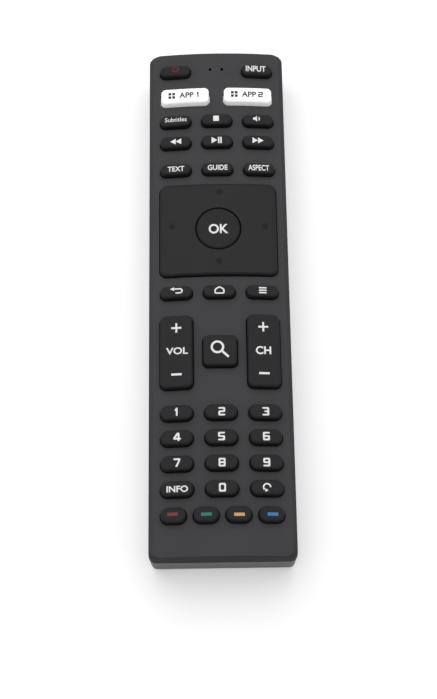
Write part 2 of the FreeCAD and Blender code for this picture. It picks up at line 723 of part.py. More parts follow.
def key_openings():
    cutters = []
    through = "body_height"
    for name, x, row, width, length, corner in KEYS:
        cutters.append(prism(f"opening_{name}", f"({width} + 2 * key_gap)",
                             f"({length} + 2 * key_gap)", f"({corner} + key_gap)",
                             SKIRT_FOOT, through, x, from_far_end(row)))
    cutters.append(prism("opening_pad", "(pad_width + 2 * key_gap)", "(pad_length + 2 * key_gap)",
                         "(pad_corner + key_gap)", SKIRT_FOOT, through, "0",
                         from_far_end("pad_row")))
    for side in ("-", ""):
        cutters.append(prism("opening_rocker", "(rocker_width + 2 * key_gap)",
                             "(rocker_length + 2 * key_gap)", "(rocker_corner + key_gap)",
                             SKIRT_FOOT, through, f"{side}column_spacing",
                             from_far_end("rocker_row")))
    return cutters


def window_prism(name, margin, start, depth):
    """Rounded block in the far end, standing on its narrow side."""
    body = new_body(name)
    middle = f"({LAMP_AXIS})"
    sketch = new_sketch(body, "XZ_Plane", level=f"-({start})")
    rounded_rectangle(sketch, f"(window_width + 2 * {margin})", f"(window_height + 2 * {margin})",
                      f"(window_corner + {margin})", along=middle)
    pad(body, sketch, depth)
    return body


def top_case():
    outer = upper_block("upper_outside", "0", "face_round")
    hollow = upper_block("upper_hollow", "wall")
    shell = cut("upper_shell", outer, hollow)
    reach = f"(body_height - wall / 2 - {BOARD_TOP})"
    bosses = screw_cylinders("upper_boss", "upper_boss_diameter", BOARD_TOP, reach)
    solid = fuse("upper_solid", [shell, *bosses])
    rebate = prism("rebate", "(body_width - 2 * wall + 2 * tongue_thickness + 2 * seam_gap)",
                   "(body_length - 2 * wall + 2 * tongue_thickness + 2 * seam_gap)",
                   "(plan_corner - wall + tongue_thickness + seam_gap)", "parting_height",
                   "tongue_height + seam_gap")
    bores = screw_cylinders("upper_bore", "screw_diameter + 2 * thread_play", BOARD_TOP,
                            "screw_bite + thread_play")
    holes = [cylinder("small_hole", f"{side}hole_spacing", from_far_end("hole_row"), MAT_TOP,
                      "hole_diameter", "body_height")
             for side in ("-", "")]
    window = window_prism("upper_window_opening", "contact_play", "body_length",
                          "body_length - (body_length / 2 - 2 * wall)")
    cutters = fuse("upper_cutters", [rebate, window, *bores, *holes, *key_openings()])
    SUBPARTS.append(cut("top_case", solid, cutters))


def bottom_case():
    outer = lower_block("lower_outside", "0", "0", "hull_round")
    hollow = lower_block("lower_hollow", "wall", "floor_thickness")
    shell = cut("lower_shell", outer, hollow)
    tongue_outer = prism("tongue_outer", "(body_width - 2 * wall + 2 * tongue_thickness)",
                         "(body_length - 2 * wall + 2 * tongue_thickness)",
                         "(plan_corner - wall + tongue_thickness)",
                         "parting_height - wall", "tongue_height + wall")
    tongue_inner = prism("tongue_inner", "(body_width - 2 * wall)", "(body_length - 2 * wall)",
                         "(plan_corner - wall)", "parting_height - 2 * wall",
                         "tongue_height + 3 * wall")
    tongue = cut("tongue", tongue_outer, tongue_inner)
    bay = box("bay_block", "0", f"{BAY_START} - bay_wall", "0", f"2 * ({BAY_HALF} + bay_wall)",
              f"{BAY_LENGTH} + 2 * bay_wall", BOARD_FOOT)
    roof_half = "(door_width / 2 + door_rim + door_gap + bay_wall)"
    roof_start = "(wall / 2 - body_length / 2)"
    roof_foot = "(floor_thickness + door_gap)"
    roof = box("door_roof_block", "0", roof_start, "floor_thickness / 2", f"2 * {roof_half}",
               f"{DOOR_END} + bay_wall - {roof_start}", "floor_thickness / 2 + door_gap + door_roof")
    bosses = screw_cylinders("lower_boss", "boss_diameter", "floor_thickness / 2",
                             f"{BOARD_FOOT} - floor_thickness / 2")
    solid = fuse("lower_solid", [shell, tongue, bay, roof, *bosses])
    bay_hollow = box("bay_hollow", "0", BAY_START, f"-{CUT_SPARE}", f"2 * {BAY_HALF}", BAY_LENGTH,
                     f"{BOARD_FOOT} - bay_ceiling + {CUT_SPARE}")
    slot_start = "(-body_length)"
    slot_length = f"({DOOR_END} + door_gap + body_length)"
    slot = box("door_slot", "0", slot_start, f"-{CUT_SPARE}", "door_width + 2 * door_gap",
               slot_length, f"{roof_foot} + {CUT_SPARE}")
    rim_foot = "(floor_thickness - door_rim_thickness - door_gap)"
    rim_slot = box("door_rim_slot", "0", slot_start, rim_foot,
                   "door_width + 2 * door_rim + 2 * door_gap", slot_length,
                   f"{roof_foot} - {rim_foot}")
    recesses = screw_cylinders("recess", "screw_head + 2 * screw_play", f"-{CUT_SPARE}",
                               f"screw_recess + screw_head_height + {CUT_SPARE}")
    bores = screw_cylinders("lower_bore", "screw_diameter + 2 * screw_play", "screw_recess",
                            BOARD_FOOT)
    tabs = [box("tab_slot", x, y, CELL_HEIGHT, "tab_width + 2 * tab_play",
                "plate_thickness + 2 * tab_play", BOARD_FOOT)
            for x, y in tab_slots()]
    window = window_prism("lower_window_opening", "contact_play", "body_length",
                          "body_length - (body_length / 2 - 2 * wall)")
    cutters = fuse("lower_cutters", [bay_hollow, slot, rim_slot, window, *recesses, *bores, *tabs])
    SUBPARTS.append(cut("bottom_case", solid, cutters))
    return outer


def tab_slots():
    far = f"{BAY_END} - plate_thickness - tab_play"
    near = f"{BAY_START} - tab_play"
    return [(f"-{CELL_SIDE}", far), (CELL_SIDE, far), ("0", near)]


def battery_door(case_block):
    """Flat cover that runs in the floor; its near end follows the end of the case."""
    body = new_body("door_blank")
    sketch = new_sketch(body, "XZ_Plane", level=f"-({DOOR_END})")
    half = "door_width / 2"
    rim = f"({half} + door_rim)"
    step = "(floor_thickness - door_rim_thickness)"
    polygon(sketch, [
        (f"-({half})", f"-{CUT_SPARE}"), (half, f"-{CUT_SPARE}"), (half, step), (rim, step),
        (rim, "floor_thickness"), (f"-{rim}", "floor_thickness"), (f"-{rim}", step),
        (f"-({half})", step),
    ])
    pad(body, sketch, "body_length")
    groove = new_sketch(body, level="grip_depth")
    first = f"({DOOR_END} - grip_offset)"
    rounded_rectangle(groove, "grip_width", "grip_groove", "grip_corner", along=first)
    cutter = pocket(body, groove, f"2 * {CUT_SPARE}")
    doc.recompute()
    pattern = body.newObject("PartDesign::LinearPattern", "grip_ribs")
    pattern.Originals = [cutter]
    pattern.Direction = (origin_axis(body, "Y_Axis"), [""])
    pattern.Reversed = True
    bind(pattern, Length="grip_pitch * (grip_count - 1)", Occurrences="grip_count")
    body.Tip = pattern
    SUBPARTS.append(common("battery_door", [case_block, body]))


def origin_axis(body, role):
    return next(axis for axis in body.Origin.OriginFeatures if axis.Role == role)


def board_and_mat():
    board = prism("board_blank", BOARD_WIDTH, BOARD_LENGTH, "board_corner", BOARD_FOOT,
                  "board_thickness")
    board_bores = screw_cylinders("board_bore", "screw_diameter + 2 * screw_play", BOARD_FOOT,
                                  "board_thickness")
    SUBPARTS.append(cut("circuit_board", board, fuse("board_bores", board_bores)))
    mat = prism("mat_blank", f"({BOARD_WIDTH} - 2 * mat_margin)", f"({BOARD_LENGTH} - 2 * mat_margin)",
                "(board_corner - mat_margin)", BOARD_TOP, "mat_thickness")
    holes = screw_cylinders("mat_boss_hole", "upper_boss_diameter + 2 * stem_room", BOARD_TOP,
                            "mat_thickness")
    for x, row, along, diameter in STEMS:
        holes.append(cylinder("mat_hole", x, f"{from_far_end(row)} + {along}", BOARD_TOP,
                              f"({diameter} + 2 * stem_room)", "mat_thickness"))
    sensors = prism("mat_sensor_hole", "(2 * hole_spacing + microphone_diameter + 2 * stem_room)",
                    "(microphone_diameter + 2 * stem_room)", "stem_room", BOARD_TOP,
                    "mat_thickness", "0", from_far_end("hole_row"))
    SUBPARTS.append(cut("keypad_mat", mat, fuse("mat_holes", [*holes, sensors])))


def case_screws():
    """Three alike screws, put in from below."""
    heads = screw_cylinders("screw_head_disc", "screw_head", "screw_recess", "screw_head_height")
    shanks = screw_cylinders("screw_shank", "screw_diameter", "screw_recess",
                             f"{BOARD_TOP} + screw_bite - screw_recess")
    slots = [box("screw_slot", "0", f"{y} - {length} / 2", "screw_recess", width, length,
                 "screw_slot_depth")
             for y in SCREW_ROWS.values()
             for width, length in (("screw_slot_length", "screw_slot_width"),
                                   ("screw_slot_width", "screw_slot_length"))]
    screws = fuse("screw_blanks", [*heads, *shanks])
    SUBPARTS.append(cut("case_screws", screws, fuse("screw_slots", slots)))


def far_end_parts():
    face = "(body_length / 2 - end_lean)"
    lens = window_prism("window_lens", "0", face, f"{face} - {WINDOW_FLANGE_FACE}")
    flange = window_prism("window_rim", "window_flange", WINDOW_FLANGE_FACE, "window_thickness")
    SUBPARTS.append(fuse("ir_window", [lens, flange]))
    tip = f"({WINDOW_FLANGE_FACE} - window_thickness - ir_lamp_gap)"
    radius = "ir_lamp_diameter / 2"
    rear = f"({tip} - ir_lamp_length)"
    barrel = lying_cylinder("lamp_barrel", "ir_lamp_offset", rear, LAMP_AXIS, "ir_lamp_diameter",
                            f"ir_lamp_length - {radius}")
    dome = doc.addObject("Part::Sphere", "lamp_dome")
    bind(dome, Radius=radius)
    place(dome, "ir_lamp_offset", f"{tip} - {radius}", LAMP_AXIS)
    rim = lying_cylinder("lamp_rim", "ir_lamp_offset", rear, LAMP_AXIS, "ir_lamp_rim",
                         "ir_lamp_rim_length")
    leads = []
    for side in ("+", "-"):
        x = f"(ir_lamp_offset {side} lead_spacing)"
        leads.append(box("lamp_lead", x, f"{rear} - 2 * lead_width", f"{LAMP_AXIS} - lead_width / 2",
                         "lead_width", "2 * lead_width", "lead_width"))
        leads.append(box("lamp_lead_end", x, f"{rear} - 2 * lead_width",
                         f"{LAMP_AXIS} - lead_width / 2", "lead_width", "lead_width",
                         f"{BOARD_FOOT} - {LAMP_AXIS} + lead_width / 2"))
    SUBPARTS.append(fuse("ir_led", [barrel, dome, rim, *leads]))
    row = from_far_end("hole_row")
    SUBPARTS.append(box("status_led", "hole_spacing", f"{row} - lamp_width / 2", BOARD_TOP,
                        "lamp_width", "lamp_width", "lamp_height"))
    foot = f"({BOARD_TOP} + lamp_height + contact_play)"
    flange_disc = cylinder("pipe_foot", "hole_spacing", row, foot, "pipe_flange", "lamp_height")
    end = "(body_height - hole_spacing ^ 2 / (2 * crown_radius) - pipe_depth)"
    rod = cylinder("pipe_rod", "hole_spacing", row, foot, "hole_diameter - 2 * pipe_gap",
                   f"{end} - {foot}")
    SUBPARTS.append(fuse("light_pipe", [flange_disc, rod]))
    capsule_top = f"({BOARD_TOP} + microphone_height)"
    SUBPARTS.append(cylinder("microphone", "-hole_spacing", row, BOARD_TOP, "microphone_diameter",
                             "microphone_height"))
    ceiling = "(body_height - wall - (hole_spacing + hole_diameter + gasket_wall) ^ 2 / crown_radius)"
    tube = cylinder("gasket_tube", "-hole_spacing", row, capsule_top,
                    "hole_diameter + 2 * gasket_wall", f"{ceiling} - {capsule_top}")
    bore = cylinder("gasket_bore", "-hole_spacing", row, capsule_top, "hole_diameter",
                    "body_height")
    SUBPARTS.append(cut("microphone_gasket", tube, bore))


def board_parts():
    """Parts that hang under the board, in the space above the floor."""
    SUBPARTS.append(box("main_chip", "0", f"{from_far_end('chip_row')} - chip_size / 2",
                        f"{BOARD_FOOT} - chip_height", "chip_size", "chip_size", "chip_height"))
    SUBPARTS.append(prism("crystal", "crystal_length", "crystal_width", "crystal_corner",
                          f"({BOARD_FOOT} - crystal_height)", "crystal_height", "0",
                          from_far_end("crystal_row")))
    SUBPARTS.append(cylinder("storage_capacitor", "0", from_far_end("capacitor_row"),
                             f"{BOARD_FOOT} - capacitor_height", "capacitor_diameter",
                             "capacitor_height"))
    row = from_far_end("module_row")
    carrier = box("module_carrier", "0", f"{row} - module_length / 2", f"{BOARD_FOOT} - module_board",
                  "module_width", "module_length", "module_board")
    can_length = "(module_length - 4 * module_can_inset)"
    can = box("module_can", "0", f"{row} - module_length / 2 + module_can_inset",
              f"{BOARD_FOOT} - module_board - module_can_height",
              "module_width - 2 * module_can_inset", can_length, "module_can_height")
    SUBPARTS.append(fuse("wireless_module", [carrier, can]))


def cell(name, x, positive_at_far_end):
    body_long = "(cell_length - nub_length)"
    if positive_at_far_end:
        can_start = f"({BAY_START} + plate_thickness + spring_room)"
        nub_start = f"({can_start} + {body_long})"
    else:
        nub_start = f"({BAY_START} + plate_thickness + dimple_height + contact_play)"
        can_start = f"({nub_start} + nub_length)"
    can = lying_cylinder(f"{name}_can", x, can_start, CELL_HEIGHT, "cell_diameter", body_long)
    nub = lying_cylinder(f"{name}_nub", x, nub_start, CELL_HEIGHT, "nub_diameter", "nub_length")
    SUBPARTS.append(fuse(name, [can, nub]))


def contact_plate(x, y, width):
    return box("contact_sheet", x, y, f"{CELL_HEIGHT} - plate_height / 2", width, "plate_thickness",
               "plate_height")


def contact_tab(x, y):
    return box("contact_tab", x, y, CELL_HEIGHT, "tab_width", "plate_thickness",
               f"{BOARD_FOOT} - {CELL_HEIGHT}")


def dimple(x, y):
    return lying_cylinder("contact_dimple", x, y, CELL_HEIGHT, "dimple_diameter", "dimple_height")


def spring(x, y, towards_far_end):
    """The room that a conical spring takes: a hollow cone as thick as its wire."""
    length = "spring_room - contact_play"
    wide = "spring_foot / 2"
    narrow = "spring_tip / 2"
    first, last = (wide, narrow) if towards_far_end else (narrow, wide)
    cones = []
    for name, thinner in (("spring_outside", "0"), ("spring_inside", "spring_wire")):
        cone = doc.addObject("Part::Cone", name)
        bind(cone, Radius1=f"{first} - {thinner}", Radius2=f"{last} - {thinner}", Height=length)
        place(cone, x, y, CELL_HEIGHT)
        cone.Placement.Rotation = FreeCAD.Rotation(Vector(1, 0, 0), -90)
        cones.append(cone)
    return cut("spring_cone", *cones)


def battery_parts():
    left = f"-{CELL_SIDE}"
    right = CELL_SIDE
    cell("battery_left", left, True)
    cell("battery_right", right, False)
    far = f"({BAY_END} - plate_thickness)"
    near = BAY_START
    plate_inner = f"({near} + plate_thickness)"
    SUBPARTS.append(fuse("contact_positive", [
        contact_plate(left, far, "plate_width"),
        contact_tab(left, far),
        dimple(left, f"{far} - dimple_height"),
    ]))
    SUBPARTS.append(fuse("contact_negative", [
        contact_plate(right, far, "plate_width"),
        contact_tab(right, far),
        spring(right, f"{far} - (spring_room - contact_play)", False),
    ]))
    SUBPARTS.append(fuse("contact_link", [
        contact_plate("0", near, "plate_width + 2 * " + CELL_SIDE),
        contact_tab("0", near),
        spring(left, plate_inner, True),
        dimple(right, plate_inner),
    ]))


def check_document():
    for item in doc.Objects:
        if {"Invalid", "Error"} & set(item.State):
            raise RuntimeError(f"{item.Name} failed: {item.State}")
    for part in SUBPARTS:
        shape = part.Shape
        if shape.isNull() or not shape.isValid() or not shape.Solids:
            raise RuntimeError(f"{part.Label} has no valid solid")


def write_parts():
    os.makedirs("parts", exist_ok=True)
    for part in SUBPARTS:
        part.Shape.exportStep(f"parts/{part.Label}.step")


write_sheet()
push_keys()
ok_key()
navigation_pad()
navigation_web()
rocker("rocker_volume", "-column_spacing")
rocker("rocker_channel", "column_spacing")
top_case()
battery_door(bottom_case())
board_and_mat()
case_screws()
far_end_parts()
board_parts()
battery_parts()
doc.recompute()
check_document()
write_parts()
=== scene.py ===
"""A television remote control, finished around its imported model.

The script gives every moulded, printed and metal surface its material, prints the key
legends, winds the battery springs and sets a plain studio with the camera at the
photograph's angle. It is laid out as an add-on and run as a script.
"""

import json
import math

import bpy
from bpy.props import FloatProperty, FloatVectorProperty, PointerProperty
from mathutils import Matrix, Vector


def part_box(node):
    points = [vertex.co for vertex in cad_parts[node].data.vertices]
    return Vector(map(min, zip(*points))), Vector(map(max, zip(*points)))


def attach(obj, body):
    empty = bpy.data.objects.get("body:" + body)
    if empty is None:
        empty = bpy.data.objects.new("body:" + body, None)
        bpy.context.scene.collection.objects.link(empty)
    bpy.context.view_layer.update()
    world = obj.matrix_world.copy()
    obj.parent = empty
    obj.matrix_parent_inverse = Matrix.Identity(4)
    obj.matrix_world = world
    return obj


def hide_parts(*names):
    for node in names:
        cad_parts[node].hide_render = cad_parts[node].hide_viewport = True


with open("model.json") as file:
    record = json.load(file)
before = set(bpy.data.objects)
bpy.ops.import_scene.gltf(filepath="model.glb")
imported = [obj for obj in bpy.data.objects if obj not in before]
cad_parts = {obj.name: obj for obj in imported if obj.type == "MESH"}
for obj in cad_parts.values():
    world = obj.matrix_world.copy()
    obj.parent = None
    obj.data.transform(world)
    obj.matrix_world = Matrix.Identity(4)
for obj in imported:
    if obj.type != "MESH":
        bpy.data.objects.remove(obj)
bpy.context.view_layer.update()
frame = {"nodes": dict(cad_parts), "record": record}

bl_info = {
    "name": "Remote Control Finish",
    "version": (1, 0, 0),
    "blender": (4, 5, 0),
    "location": "View3D > Sidebar > Remote",
    "description": "Materials, key legends, battery springs and studio for a remote control",
    "category": "Object",
}

MM = 0.001
PHOTO_WIDTH_PX = 437
PHOTO_HEIGHT_PX = 699
SENSOR_MM = 36.0


def linear(hex_colour):
    """The linear colour, with alpha, of an sRGB hex value."""
    shares = [int(hex_colour[start : start + 2], 16) / 255 for start in (1, 3, 5)]
    return tuple(c / 12.92 if c <= 0.04045 else ((c + 0.055) / 1.055) ** 2.4 for c in shares) + (1.0,)


def colour_property(name, hex_colour, description):
    """A colour that the user can change, with its sRGB hex value as default."""
    return FloatVectorProperty(
        name=name, description=description, subtype="COLOR", size=4, min=0, max=1,
        default=linear(hex_colour),
    )


def size_property(name, millimetres, description):
    """A length that the user can change, given in millimetres and kept in metres."""
    return FloatProperty(
        name=name, description=description, unit="LENGTH", precision=5, min=0, default=millimetres * MM
    )


def angle_property(name, degrees, description):
    """An angle that the user can change, given in degrees."""
    return FloatProperty(
        name=name, description=description, subtype="ANGLE", default=math.radians(degrees)
    )


def number_property(name, value, description, least=0):
    """A plain number that the user can change, down to its least value."""
    return FloatProperty(name=name, description=description, min=least, default=value)


class RemoteFinish(bpy.types.PropertyGroup):
    """Colours and grain sizes of the remote control's surfaces."""

    face: colour_property("Face", "#464648", "Moulded ABS of the upper shell")
    hull: colour_property("Hull", "#484849", "Moulded ABS of the lower shell and the door")
    key: colour_property("Keys", "#2a2a2c", "Silicone rubber of the dark keys")
    pad: colour_property("Pad", "#232325", "Moulded plastic of the navigation pad")
    bright_key: colour_property("White keys", "#fbfbfb", "Moulded ABS of the two white keys")
    ink: colour_property("Legend ink", "#f4f4f4", "White print on the dark keys")
    dot_ink: colour_property("Dot ink", "#1f1f21", "Dark dots on the navigation pad")
    dark_ink: colour_property("Dark ink", "#3a3a3c", "Print on the two white keys")
    power_ink: colour_property("Power ink", "#7c2b30", "Red print on the power key")
    red_ink: colour_property("Red bar", "#8c3a3e", "Print on the red key")
    green_ink: colour_property("Green bar", "#3a8278", "Print on the green key")
    yellow_ink: colour_property("Yellow bar", "#cfb264", "Print on the yellow key")
    blue_ink: colour_property("Blue bar", "#4284c4", "Print on the blue key")
    mat: colour_property("Mat", "#2b2b2d", "Silicone rubber of the mat, the pad's ring and the gasket")
    window: colour_property("Window", "#1c0a0f", "Infrared-pass acrylic at the far end")
    lens: colour_property("Lens", "#dfe6f5", "Clear epoxy of the infrared lamp")
    lamp: colour_property("Status lamp", "#f0e9d4", "Frosted epoxy of the status lamp")
    pipe: colour_property("Light pipe", "#121214", "Smoked acrylic over the status lamp")
    mask: colour_property("Solder mask", "#175c33", "Lacquer on the bare laminate of the board")
    tracks: colour_property("Tracks", "#2c8a50", "The same lacquer over copper")
    package: colour_property("Chip", "#1c1c1e", "Epoxy package of the main chip")
    capacitor: colour_property("Capacitor", "#1d2330", "Sleeve of the storage capacitor")
    steel: colour_property("Steel", "#b9bbbd", "Zinc-plated screws and cans")
    tin: colour_property("Tin plate", "#c6c6c2", "Shield of the wireless module")
    nickel: colour_property("Nickel", "#cfcbc2", "Nickel-plated battery contacts")
    sleeve: colour_property("Cell sleeve", "#33383f", "Print on the cells")
    band: colour_property("Cell band", "#b8742c", "Paler band round the cells")
    bare_end: colour_property("Cell ends", "#c9c8c4", "Bare steel at both ends of a cell")
    grain: size_property("Shell grain", 0.35, "Width of one grain of the shells' eroded texture")
    key_grain: size_property("Key grain", 0.22, "Width of one grain on the rubber keys")


class RemotePrint(bpy.types.PropertyGroup):
    """Sizes of the printed legends."""

    ink_height: size_property("Ink height", 0.03, "How far the print stands above its key")
    stroke: size_property("Stroke", 0.6, "Width of the lines of the symbols")
    digit_width: size_property("Digit width", 2.2, "Width of a digit")
    digit_height: size_property("Digit height", 2.8, "Height of a digit")
    digit_stroke: size_property("Digit stroke", 0.54, "Width of the lines of a digit")
    bold: number_property("Boldness", 0.02, "Widening of a letter's outline, as a share of the type size")


class RemoteContacts(bpy.types.PropertyGroup):
    """Sizes of the battery contacts."""

    sheet: size_property("Sheet", 0.4, "Thickness of the stamped plates")
    plate_width: size_property("Plate width", 8.4, "Width of a single contact's plate")
    plate_height: size_property("Plate height", 8.6, "Height of every plate")
    tab_width: size_property("Tab width", 1.6, "Width of the solder tabs")
    dimple: size_property("Button", 3.4, "Diameter of the pressed button that meets a cell's nub")
    dimple_height: size_property("Button height", 0.5, "Height of that button")
    wire: size_property("Wire", 0.5, "Thickness of the spring wire")
    spring_foot: size_property("Spring foot", 6.4, "Outer diameter of a spring at its plate")
    spring_tip: size_property("Spring tip", 4.0, "Outer diameter of a spring at its cell")
    coils: number_property("Coils", 4.5, "Number of coils of a spring", least=2)


class RemoteStudio(bpy.types.PropertyGroup):
    """Camera place and light levels."""

    focal: number_property("Focal length", 1466.4, "Lens in pixels of the photograph", least=1)
    pitch: angle_property("Pitch", 69.387, "Angle of the view below the horizon")
    yaw: angle_property("Yaw", 0.0513, "Turn of the view towards +X")
    roll: angle_property("Roll", -0.7817, "Turn about the line of sight")
    place: FloatVectorProperty(
        name="Camera place", description="Where the camera stands", subtype="XYZ", unit="LENGTH",
        default=(-0.6692 * MM, -189.8414 * MM, 467.2335 * MM),
    )
    world: number_property("World light", 0.62, "Level of the light from all round")
    mirrored: number_property("Mirrored room", 0.5, "How bright the room is in reflections")
    camera_side: number_property(
        "Camera side", 0.75, "Light from behind the camera, as a share of that from the far side"
    )
    overhead: number_property("Overhead lamp", 2.05, "Power of the large lamp above")
    glow: number_property("Paper glow", 0.3, "Light added to the paper that is seen, so that it reads white")


# Materials

# Where a noise node's values mostly lie
NOISE_LOW = 0.35
NOISE_HIGH = 0.65

# Sockets of a Mix node that mixes colours
MIX_A = 6
MIX_B = 7
MIX_RESULT = 2

# Upward part of the normal below which a face is a wall with the full painted shade, and above which it is
# level and has none
WALL_NORMAL = 0.1
LEVEL_NORMAL = 0.95

WHITE = (1.0, 1.0, 1.0, 1.0)


def add_node(tree, kind, inputs=None, **settings):
    """A node with its settings. Each input has a name or number, and a value or the socket it follows."""
    node = tree.nodes.new(kind)
    for name, value in settings.items():
        setattr(node, name, value)
    for name, value in (inputs or {}).items():
        socket = node.inputs[name]
        if isinstance(value, bpy.types.NodeSocket):
            tree.links.new(value, socket)
        else:
            socket.default_value = value
    return node


def new_material(name):
    """An empty node material and its node tree."""
    material = bpy.data.materials.new(name)
    material.use_nodes = True
    material.node_tree.nodes.clear()
    return material, material.node_tree


def surfaced(material, inputs):
    """The material, ended with a shader of those inputs."""
    tree = material.node_tree
    shader = add_node(tree, "ShaderNodeBsdfPrincipled", inputs)
    add_node(tree, "ShaderNodeOutputMaterial", {"Surface": shader.outputs[0]})
    return material


def object_place(tree):
    """Where a point of the surface is, in metres in the object's own frame."""
    return add_node(tree, "ShaderNodeTexCoord").outputs["Object"]


def grains(tree, width, detail=2.0, roughness=0.5):
    """Noise whose grains are that wide, in metres."""
    return add_node(
        tree, "ShaderNodeTexNoise",
        {"Vector": object_place(tree), "Scale": 1 / width, "Detail": detail, "Roughness": roughness},
    ).outputs["Fac"]


def spread(tree, noise, low, high):
    """The values of a noise spread over a range of numbers."""
    return add_node(
        tree, "ShaderNodeMapRange",
        {"Value": noise, "From Min": NOISE_LOW, "From Max": NOISE_HIGH, "To Min": low, "To Max": high},
    ).outputs["Result"]


def shade(tree, colour, factor):
    """A colour made lighter or darker by a factor that changes over the surface."""
    grey = add_node(tree, "ShaderNodeCombineColor", {"Red": factor, "Green": factor, "Blue": factor})
    return add_node(
        tree, "ShaderNodeMix", {"Factor": 1.0, MIX_A: colour, MIX_B: grey.outputs[0]},
        data_type="RGBA", blend_type="MULTIPLY",
    ).outputs[MIX_RESULT]


def relief(tree, height, depth):
    """A normal that follows a height pattern of that depth in metres."""
    return add_node(
        tree, "ShaderNodeBump", {"Height": height, "Distance": depth, "Strength": 1.0}
    ).outputs["Normal"]


def darker_walls(tree, tone, share):
    """Painted shade: a tone that is kept on level faces and falls over slopes to a share of it on upright
    walls, as if they stood in shade.
    """
    normal = add_node(tree, "ShaderNodeTexCoord").outputs["Normal"]
    upward = add_node(tree, "ShaderNodeSeparateXYZ", {"Vector": normal}).outputs["Z"]
    level = add_node(tree, "ShaderNodeMath", {0: upward}, operation="ABSOLUTE").outputs[0]
    kept = add_node(
        tree, "ShaderNodeMapRange",
        {"Value": level, "From Min": WALL_NORMAL, "From Max": LEVEL_NORMAL, "To Min": share},
    ).outputs["Result"]
    return add_node(tree, "ShaderNodeMath", {0: tone, 1: kept}, operation="MULTIPLY").outputs[0]


def moulded_plastic(name, colour, grain, rough=(0.5, 0.62), depth=0.006 * MM, mottle=(0.97, 1.03),
                    shine=0.25, scatter=0.0, glow=0.0, wall_shade_share=1.0):
    """Moulded thermoplastic: a fine spark-eroded grain that scatters highlights, and a faint cloudiness.

    White plastic also lets light through its edges. Its glow is painted light: a white emission that lifts
    it brighter than its lamps make it.
    Walls can take painted shade: their colour falls to a share of it on upright faces, as if they stood in
    shade.
    """
    material, tree = new_material(name)
    cloud_width = 40 * grain
    fine = grains(tree, grain, detail=1.0)
    clouds = grains(tree, cloud_width, detail=3.0)
    # Painted shade: the tone falls on upright walls to the wall share, as if they stood in shade.
    tone = darker_walls(tree, spread(tree, clouds, *mottle), wall_shade_share)
    return surfaced(material, {
        "Base Color": shade(tree, colour, tone),
        "Roughness": spread(tree, fine, *rough),
        "Normal": relief(tree, fine, depth),
        "IOR": 1.53,
        "Specular IOR Level": shine,
        "Subsurface Weight": scatter,
        "Subsurface Radius": (1.0, 1.0, 1.0),
        "Subsurface Scale": 1.5 * MM,
        # The emission is painted light, a glow though the plastic is no lamp.
        "Emission Color": WHITE,
        "Emission Strength": glow,
    })


def silicone_rubber(name, colour, grain, wall_shade_share=1.0):
    """Moulded silicone rubber: a matt skin with a soft sheen, and specks of dust held in its grain.

    Its sides can take painted shade, darker than its top as if they stood in shade.
    """
    material, tree = new_material(name)
    speck_width = 9 * grain
    fine = grains(tree, grain)
    dust = grains(tree, speck_width, detail=4.0, roughness=0.65)
    # Painted shade: the tone falls on the upright sides to the wall share, as if they stood in shade.
    tone = darker_walls(tree, spread(tree, dust, 0.94, 1.08), wall_shade_share)
    return surfaced(material, {
        "Base Color": shade(tree, colour, tone),
        "Roughness": spread(tree, fine, 0.56, 0.7),
        "Normal": relief(tree, fine, 0.003 * MM),
        "IOR": 1.41,
        "Specular IOR Level": 0.2,
        "Sheen Weight": 0.02,
        "Sheen Roughness": 0.4,
    })


def printed_ink(name, colour):
    """Pad-printed ink: flat, opaque and hardly shining, a little uneven in cover."""
    material, tree = new_material(name)
    cover = grains(tree, 0.25 * MM, detail=3.0)
    return surfaced(material, {
        "Base Color": shade(tree, colour, spread(tree, cover, 0.93, 1.0)),
        "Roughness": spread(tree, cover, 0.5, 0.65),
        "Normal": relief(tree, cover, 0.002 * MM),
        "Specular IOR Level": 0.15,
    })


def tinted_window(name, colour):
    """Infrared-pass acrylic, moulded and polished: black until light catches it, then deep red."""
    material, tree = new_material(name)
    flow = grains(tree, 3 * MM, detail=1.0)
    return surfaced(material, {
        "Base Color": shade(tree, colour, spread(tree, flow, 0.85, 1.15)),
        "Roughness": spread(tree, flow, 0.05, 0.09),
        "IOR": 1.49,
        "Coat Weight": 0.4,
        "Coat Roughness": 0.04,
    })


def clear_moulding(name, colour, through):
    """Clear moulded epoxy or acrylic: light goes in, and faint flow marks bend it."""
    material, tree = new_material(name)
    flow = grains(tree, 1.5 * MM, detail=1.0)
    return surfaced(material, {
        "Base Color": shade(tree, colour, spread(tree, flow, 0.96, 1.0)),
        "Roughness": spread(tree, flow, 0.04, 0.1),
        "IOR": 1.5,
        "Transmission Weight": through,
    })


def worked_metal(name, colour, scratch, rough, stretch=(1.0, 1.0, 1.0)):
    """Plated or rolled metal: bright, with fine marks drawn out along the way it was worked."""
    material, tree = new_material(name)
    drawn = add_node(tree, "ShaderNodeMapping", {"Vector": object_place(tree), "Scale": stretch})
    marks = add_node(
        tree, "ShaderNodeTexNoise", {"Vector": drawn.outputs[0], "Scale": 1 / scratch, "Detail": 3.0}
    ).outputs["Fac"]
    return surfaced(material, {
        "Base Color": shade(tree, colour, spread(tree, marks, 0.92, 1.04)),
        "Roughness": spread(tree, marks, *rough),
        "Normal": relief(tree, marks, 0.002 * MM),
        "Metallic": 1.0,
    })


